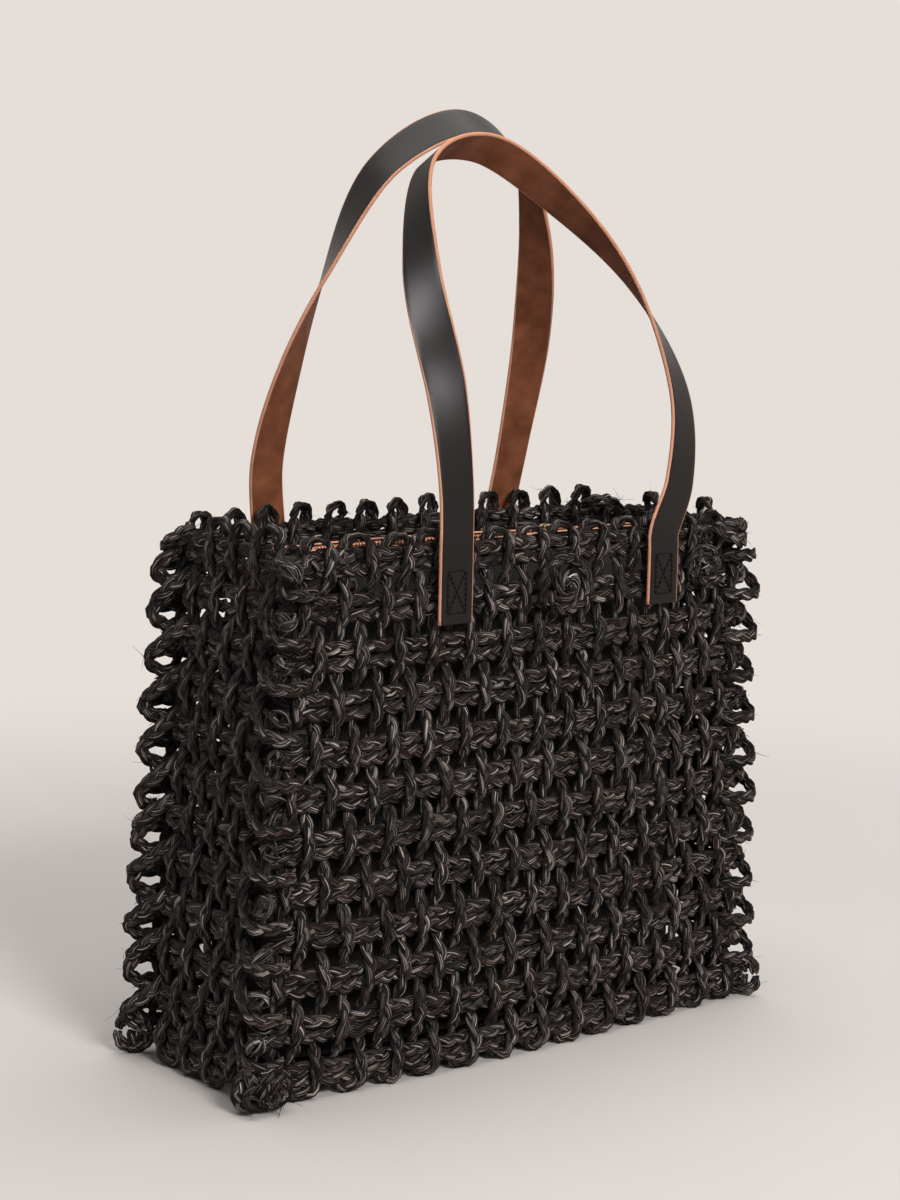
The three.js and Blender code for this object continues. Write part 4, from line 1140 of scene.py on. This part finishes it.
def make_slider():
    """The slider: a waisted plate over the teeth with a bridge for the pull tab."""
    low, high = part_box("zip_slider")
    middle = (low + high) / 2
    plate_top = low.z + SLIDER_PLATE
    shell = Shell()
    outline = rounded_outline((high.x - low.x) / 2, (high.y - low.y) / 2, 0.0022)
    waist = 1 - SLIDER_WAIST * np.exp(-((outline[:, 0] + 0.001) / 0.0030) ** 2)
    taper = 1 - 0.10 * np.abs(outline[:, 0]) / outline[:, 0].max()
    outline[:, 1] *= waist * taper
    lay_plate(shell, outline, 0.0, SLIDER_PLATE, 0.0004, (middle.x, middle.y, low.z))
    angle = np.linspace(math.radians(-12), math.radians(192), 25)
    reach = 0.0036
    rise = high.z - plate_top - SLIDER_BRIDGE_THICKNESS / 2
    path = np.stack([middle.x + reach * np.cos(angle), np.full(25, middle.y), plate_top + rise * np.sin(angle)], -1)
    facing = unit(path - np.array([middle.x, middle.y, plate_top - 0.001]))
    across, through = route_frame(path, facing)
    section = np.array(rounded_outline(SLIDER_BRIDGE_WIDTH / 2, SLIDER_BRIDGE_THICKNESS / 2, 0.0003, 2))
    shell.sweep(path, across, through, section)
    add_piece(shell, "zip_slider_body", "slider", "zip_metal", ["zip_slider"], METAL)


def make_pull_tab():
    """The pull tab: a fork round the bridge, a waist and an eye near its round end."""
    low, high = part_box("zip_puller")
    half_width = (high.y - low.y) / 2
    length = high.x - low.x
    thickness = high.z - low.z
    middle_y = (low.y + high.y) / 2
    z = (low.z + high.z) / 2
    shell = Shell()
    for side in (-1, 1):
        t = np.linspace(0, 1, 40)
        x = low.x + length * t
        outer = half_width * pull_profile(t, length, half_width)
        inner = pull_opening(t, length)
        y = middle_y + side * (outer + inner) / 2
        path = np.stack([x, y, np.full(40, z)], -1)
        across, through = route_frame(path, np.broadcast_to([0.0, 0.0, 1.0], path.shape))
        wide = np.maximum((outer - inner) / 2, 0.0003)
        corner = rounded_outline(1.0, 1.0, 0.4, 3)
        section = corner[None] * np.stack([wide, np.full(40, thickness / 2)], -1)[:, None]
        shell.sweep(path, across, through, section)
    add_piece(shell, "zip_pull_tab", "pull_tab", "zip_metal", ["zip_puller"], METAL)


def pull_profile(t, length, half_width):
    """The pull tab's half width along its length, as a share: a gentle waist and a round end."""
    waist = 1 - PULL_WAIST * np.exp(-((t - 0.42) / 0.16) ** 2)
    to_end = np.clip((1 - t) * length / half_width, 0, 1)
    round_end = np.sqrt(np.clip(1 - (1 - to_end) ** 2, 0.02, 1))
    return waist * round_end


def pull_opening(t, length):
    """Half the opening between the pull tab's two sides: the fork, a seam and the eye."""
    fork = PULL_FORK * smooth((0.30 - t) / 0.05)
    to_eye = (t - PULL_EYE_AT) * length / PULL_EYE_RADIUS
    eye = PULL_EYE_RADIUS * np.sqrt(np.clip(1 - to_eye ** 2, 0, 1))
    return np.maximum(fork, eye)


def make_stops():
    """A clamped block at each end of the zip, with a groove across."""
    for name in ("zip_left_stop", "zip_right_stop"):
        low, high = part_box(name)
        middle = (low + high) / 2
        shell = Shell()
        outline = rounded_outline((high.x - low.x) / 2, (high.y - low.y) / 2, 0.0008)
        outline[:, 1] *= 1 - 0.14 * np.exp(-(outline[:, 0] / 0.0006) ** 2)
        lay_plate(shell, outline, 0.0, high.z - low.z, 0.0004, (middle.x, middle.y, low.z))
        add_piece(shell, f"{name}_clamp", "bag", "zip_metal", [name], METAL)


def cloth_inner(x):
    return zip_lens(x) + TOOTH_DEPTH + SEAT + TAPE_THICKNESS + SEAT + BINDING_THICKNESS + CLOTH_EASE


def pouch_ring(z, inset, count=96):
    """The pouch's outline at a height, as points counter-clockwise from above."""
    shoulder = mix(POUCH_FLOOR, POUCH_TOP, POUCH_SHOULDER)
    rise = np.clip((z - shoulder) / (POUCH_TOP - shoulder), 0, 1)
    fuller = 1 - z / POUCH_TOP
    half_length = mix(POUCH_HALF_LENGTH, POUCH_TOP_HALF_LENGTH, rise) + 0.013 * fuller - inset
    points = []
    for side in (-1, 1):
        x = side * half_length * np.cos(math.pi * np.arange(count // 2) / (count // 2))
        across = np.clip(1 - np.abs(x / half_length) ** POUCH_CORNER_POWER, 0, 1)
        widest = POUCH_HALF_DEPTH - POUCH_WALL + 0.005 * np.sqrt(across) * math.sin(math.pi * min(fuller, 1))
        body = mix(cloth_inner(ZIP_HALF_LENGTH), widest, np.sqrt(across))
        mouth = cloth_inner(np.clip(x, -ZIP_HALF_LENGTH, ZIP_HALF_LENGTH))
        y = side * (mix(body, mouth, rise) + POUCH_WALL - inset)
        points.append(np.stack([x + lean_at(z), y, np.full(len(x), z)], -1))
    return np.vstack(points)


def make_pouch():
    """Thin cloth that hangs in soft upright folds and closes in to the zip."""
    rng = np.random.default_rng(66)
    fold = drift_field(rng, 0.07)
    sag = drift_field(rng, 0.11)
    levels = np.concatenate([np.linspace(POUCH_FLOOR, mix(POUCH_FLOOR, POUCH_TOP, POUCH_SHOULDER), 40),
                             np.linspace(mix(POUCH_FLOOR, POUCH_TOP, POUCH_SHOULDER), POUCH_TOP, 9)[1:]])

    def hang(ring, z):
        outward = unit(ring * [1, 1, 0])
        free = smooth((z - POUCH_FLOOR) / 0.06) * smooth((POUCH_TOP - z) / 0.05)
        depth = 0.0022 * fold(ring[:, 0] * 2.2, ring[:, 2] * 0.6) + 0.0014 * sag(ring[:, 0], ring[:, 2] * 1.7)
        return ring + outward * [0.4, 1, 0] * (depth * free - 0.0012 * free)[:, None]

    rings = [hang(pouch_ring(z, 0), z) for z in levels]
    lowest = POUCH_FLOOR + CLOTH_THICKNESS
    inner = [hang(pouch_ring(max(z, lowest), CLOTH_THICKNESS), z) for z in levels][::-1]
    rings = np.array(rings + inner)
    mesh = bpy.data.meshes.new("pouch_cloth")
    n, k = rings.shape[:2]
    faces = [(r * k + s, r * k + (s + 1) % k, (r + 1) * k + (s + 1) % k, (r + 1) * k + s)
             for r in range(n - 1) for s in range(k)]
    faces.append(tuple(range(k))[::-1])
    faces.append(tuple(range((n - 1) * k, n * k)))
    mesh.from_pydata(rings.reshape(-1, 3).tolist(), [], faces)
    mesh.polygons.foreach_set("use_smooth", np.ones(len(faces), bool))
    mesh.materials.append(CLOTH)
    piece = bpy.data.objects.new("pouch_cloth", mesh)
    bpy.context.scene.collection.objects.link(piece)
    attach(piece, "bag")
    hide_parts("pouch")


def coil_route(centre, turns, y):
    """A flat spiral about a centre on the front."""
    angle = np.linspace(0, 2 * math.pi * turns, int(turns * 40))
    radius = 0.0036 + 0.006 * angle / (2 * math.pi)
    spiral = np.stack([radius * np.cos(angle), np.zeros(len(angle)), radius * np.sin(angle)], -1)
    return even_spacing(spiral + np.array([centre[0], y, centre[1]]), ROUTE_STEP)


def lay_coil(shell, route, rng):
    facing = np.broadcast_to([0.0, -1.0, 0.0], route.shape)
    lay_braid(shell, route, facing, rng=rng, **COIL_BRAID)
    lay_stray(shell, route, facing, 50, rng, 0.010)


def make_rosette():
    """Spare cord wound flat, with its fibre ends turned in to a whorl, half of it in the frayed finish that is bright
    with painted highlight.
    """
    low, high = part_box("front_rosette")
    y = (low.y + high.y) / 2
    rng = np.random.default_rng(201)
    shell = Shell()
    route = coil_route(ROSETTE_CENTRE, 2.6, y)
    outside = route[int(len(route) * 0.42):]
    lay_coil(shell, outside, rng)
    middle = np.array([ROSETTE_CENTRE[0], y, ROSETTE_CENTRE[1]])
    lay_whorl(shell, middle, 0.0105, 0.0030, 9, 0.0026, rng)
    lay_knot(shell, middle + [0.0010, -0.0022, -0.0016], 0.0052, rng, 1)
    lay_knot(shell, middle + [-0.0022, -0.0010, 0.0024], 0.0044, rng, 0)
    lay_fray(shell, middle, 0.0060, 20, rng)
    add_piece(shell, "front_rosette_braid", "bag", "cord", ["front_rosette"], CORD, FRAYED_AND_GLINT)


def make_small_coil():
    """A small loop of cord with a bunched end beside the right foot."""
    low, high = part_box("upper_right_coil")
    y = (low.y + high.y) / 2
    rng = np.random.default_rng(202)
    shell = Shell()
    lay_coil(shell, coil_route(SMALL_COIL_CENTRE, 1.6, y), rng)
    middle = np.array([SMALL_COIL_CENTRE[0], y - 0.0015, SMALL_COIL_CENTRE[1]])
    lay_knot(shell, middle, 0.0068, rng, 1)
    lay_knot(shell, middle + [-0.004, -0.001, 0.002], 0.0052, rng, 1)
    add_piece(shell, "upper_right_coil_braid", "bag", "cord", ["upper_right_coil"], CORD, FRAYED_AND_GLINT)


def make_corner_bundle():
    """Upright loops of cord drawn together at the low corner."""
    low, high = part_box("lower_left_coil")
    y = (low.y + high.y) / 2
    centre = np.array([(low.x + high.x) / 2, y, (low.z + high.z) / 2])
    rng = np.random.default_rng(203)
    shell = Shell()
    t = np.linspace(0, 2 * math.pi, 60)
    for wide, tall, shift, out in BUNDLE_LOOPS:
        loop = np.stack([shift + wide * np.cos(t) * (1 - 0.35 * np.sin(t)), 0.0014 * np.sin(2 * t) - out,
                         tall * np.sin(t)], -1)
        route = even_spacing(centre + loop, ROUTE_STEP)
        lay_coil(shell, route, rng)
    lay_knot(shell, centre + [0.0, -0.001, -0.0065], 0.0050, rng, 0)
    add_piece(shell, "lower_left_coil_braid", "bag", "cord", ["lower_left_coil"], CORD, FRAYED_AND_GLINT)


def lay_strip(name, node, route, facing, width, thickness, *materials):
    """A strip of leather with cut edges along a route, in place of a node."""
    both = spline(np.hstack([route, facing * LEAST]), 0.0006)
    centre, facing = both[:, :3], unit(both[:, 3:])
    across, through = route_frame(centre, facing)
    section, slots = strap_section(width, thickness, thickness * 0.4)
    shell = Shell()
    shell.sweep(centre, across, through, section, slots=slots)
    return add_piece(shell, name, "bag", "trim_leather", [node], *materials)


def make_end_tabs():
    """A tongue from each end of the pouch that bends along the side wall."""
    for name, sign in (("left", -1), ("right", 1)):
        low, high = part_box(f"{name}_end_tab")
        half = TAB_THICKNESS / 2
        wall = low.x + half if sign < 0 else high.x - half
        foot = high.x if sign < 0 else low.x
        z = (low.z + high.z) / 2
        plan = [(foot, low.y + half), (mix(foot, wall, 0.5), low.y + half), (wall - sign * 0.0016, low.y + 0.0021),
                (wall, low.y + 0.0056), (wall + sign * 0.0004, low.y + 0.016), (wall - sign * 0.0012, high.y)]
        route = np.array([(x, y, z) for x, y in plan])
        along = unit(np.gradient(route, axis=0))
        facing = np.stack([along[:, 1], -along[:, 0], np.zeros(len(along))], -1) * sign
        lay_strip(f"{name}_zip_end_tongue", f"{name}_end_tab", route, facing, high.z - low.z, TAB_THICKNESS,
                  FLESH, GRAIN, EDGE)


def make_roll():
    """A short strip of leather rolled up on itself, in the gap between two rows of the front wall."""
    low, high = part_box("front_leather_roll")
    middle = (low + high) / 2
    half = ROLL_THICKNESS / 2
    angle = np.linspace(math.radians(ROLL_START), math.radians(ROLL_START - 360 * ROLL_TURNS), 60)
    radius = np.linspace((high.z - low.z) / 2 - half, ROLL_HEART, 60)
    out = np.stack([np.zeros(60), np.cos(angle), np.sin(angle)], -1)
    route = out * radius[:, None] + np.array(middle)
    lay_strip("rolled_leather_end", "front_leather_roll", route, out, high.x - low.x, ROLL_THICKNESS,
              GRAIN, FLESH, EDGE)


def backdrop_seen(tree):
    """One for the rays that see the pale backdrop: those of the camera, and of gloss and clear pieces."""
    path = tree.nodes.new("ShaderNodeLightPath")
    mirrored = math_node(tree, "MAXIMUM", path.outputs["Is Glossy Ray"], path.outputs["Is Transmission Ray"])
    return math_node(tree, "MAXIMUM", path.outputs["Is Camera Ray"], mirrored)


def make_floor():
    """A wide pale floor that fades into the backdrop away from the bag."""
    mesh = bpy.data.meshes.new("floor")
    reach = 14.0
    mesh.from_pydata([(-reach, -reach, 0), (reach, -reach, 0), (reach, reach, 0), (-reach, reach, 0)], [],
                     [(0, 1, 2, 3)])
    floor = bpy.data.objects.new("floor", mesh)
    bpy.context.scene.collection.objects.link(floor)
    material, tree, shader, _ = finish("pale_floor", Specular_IOR_Level=0.1, Roughness=0.95)
    place = tree.nodes.new("ShaderNodeTexCoord")
    mottle = noise_node(tree, place.outputs["Object"], 2.2, 4.0)
    tree.links.new(mix_colour(tree, mottle, FLOOR_DARK, FLOOR_LIGHT), shader.inputs["Base Color"])
    distance = tree.nodes.new("ShaderNodeVectorMath")
    distance.operation = "LENGTH"
    tree.links.new(place.outputs["Object"], distance.inputs[0])
    far = range_node(tree, distance.outputs["Value"], 0.35, 1.25)
    far.node.interpolation_type = "SMOOTHSTEP"
    backdrop = tree.nodes.new("ShaderNodeEmission")
    backdrop.inputs["Color"].default_value = BACKDROP
    tree.links.new(backdrop_seen(tree), backdrop.inputs["Strength"])
    blend = tree.nodes.new("ShaderNodeMixShader")
    tree.links.new(far, blend.inputs[0])
    tree.links.new(shader.outputs[0], blend.inputs[1])
    tree.links.new(backdrop.outputs[0], blend.inputs[2])
    tree.links.new(blend.outputs[0], tree.nodes["Material Output"].inputs["Surface"])
    mesh.materials.append(material)


def make_world():
    world = bpy.data.worlds.new("studio")
    bpy.context.scene.world = world
    world.use_nodes = True
    tree = world.node_tree
    lit = tree.nodes["Background"]
    lit.inputs["Color"].default_value = (0.95, 0.96, 1.0, 1)
    lit.inputs["Strength"].default_value = 0.10
    seen = tree.nodes.new("ShaderNodeBackground")
    seen.inputs["Color"].default_value = BACKDROP
    choose = tree.nodes.new("ShaderNodeMixShader")
    tree.links.new(backdrop_seen(tree), choose.inputs[0])
    tree.links.new(lit.outputs[0], choose.inputs[1])
    tree.links.new(seen.outputs[0], choose.inputs[2])
    tree.links.new(choose.outputs[0], tree.nodes["World Output"].inputs["Surface"])


def add_softbox(name, place, aim, size, power, only_glints=False):
    light = bpy.data.lights.new(name, "AREA")
    light.shape = "RECTANGLE"
    light.size = size[0]
    light.size_y = size[1]
    light.energy = power
    lamp = bpy.data.objects.new(name, light)
    lamp.visible_diffuse = not only_glints
    bpy.context.scene.collection.objects.link(lamp)
    lamp.location = place
    lamp.rotation_euler = (Vector(aim) - Vector(place)).to_track_quat("-Z", "Y").to_euler()


def make_lights():
    add_softbox("window_softbox", (-2.15, -0.80, 1.35), (0, 0, 0.42), (1.00, 1.30), 85, True)
    add_softbox("key_softbox", (-0.45, -2.6, 1.75), (0, 0, 0.30), (0.95, 0.85), 66)
    add_softbox("top_softbox", (0.3, 0.2, 2.6), (0, 0, 0.2), (2.8, 2.8), 60)


def make_camera():
    """The photograph's viewpoint, with its roll about the line of sight."""
    forward = np.array([math.sin(CAMERA_YAW) * math.cos(CAMERA_PITCH), math.cos(CAMERA_YAW) * math.cos(CAMERA_PITCH),
                        -math.sin(CAMERA_PITCH)])
    right = np.array([math.cos(CAMERA_YAW), -math.sin(CAMERA_YAW), 0])
    upright = np.cross(right, forward)
    across = math.cos(CAMERA_ROLL) * right + math.sin(CAMERA_ROLL) * upright
    up = -math.sin(CAMERA_ROLL) * right + math.cos(CAMERA_ROLL) * upright
    camera = bpy.data.cameras.new("camera")
    camera.sensor_width = SENSOR_MM
    camera.lens = FOCAL_PIXELS * SENSOR_MM / PHOTO_LONG_SIDE
    holder = bpy.data.objects.new("camera", camera)
    bpy.context.scene.collection.objects.link(holder)
    turn = Matrix([across, up, -forward]).transposed()
    holder.matrix_world = Matrix.Translation(CAMERA_PLACE) @ turn.to_4x4()
    bpy.context.scene.camera = holder


bpy.context.scene.view_settings.view_transform = "Standard"
make_camera()
make_weave()
make_laces()
make_rosette()
make_small_coil()
make_corner_bundle()
make_straps()
make_stitches()
make_pouch()
make_zip()
make_end_tabs()
make_roll()
make_slider()
make_pull_tab()
make_stops()
make_floor()
make_world()
make_lights()
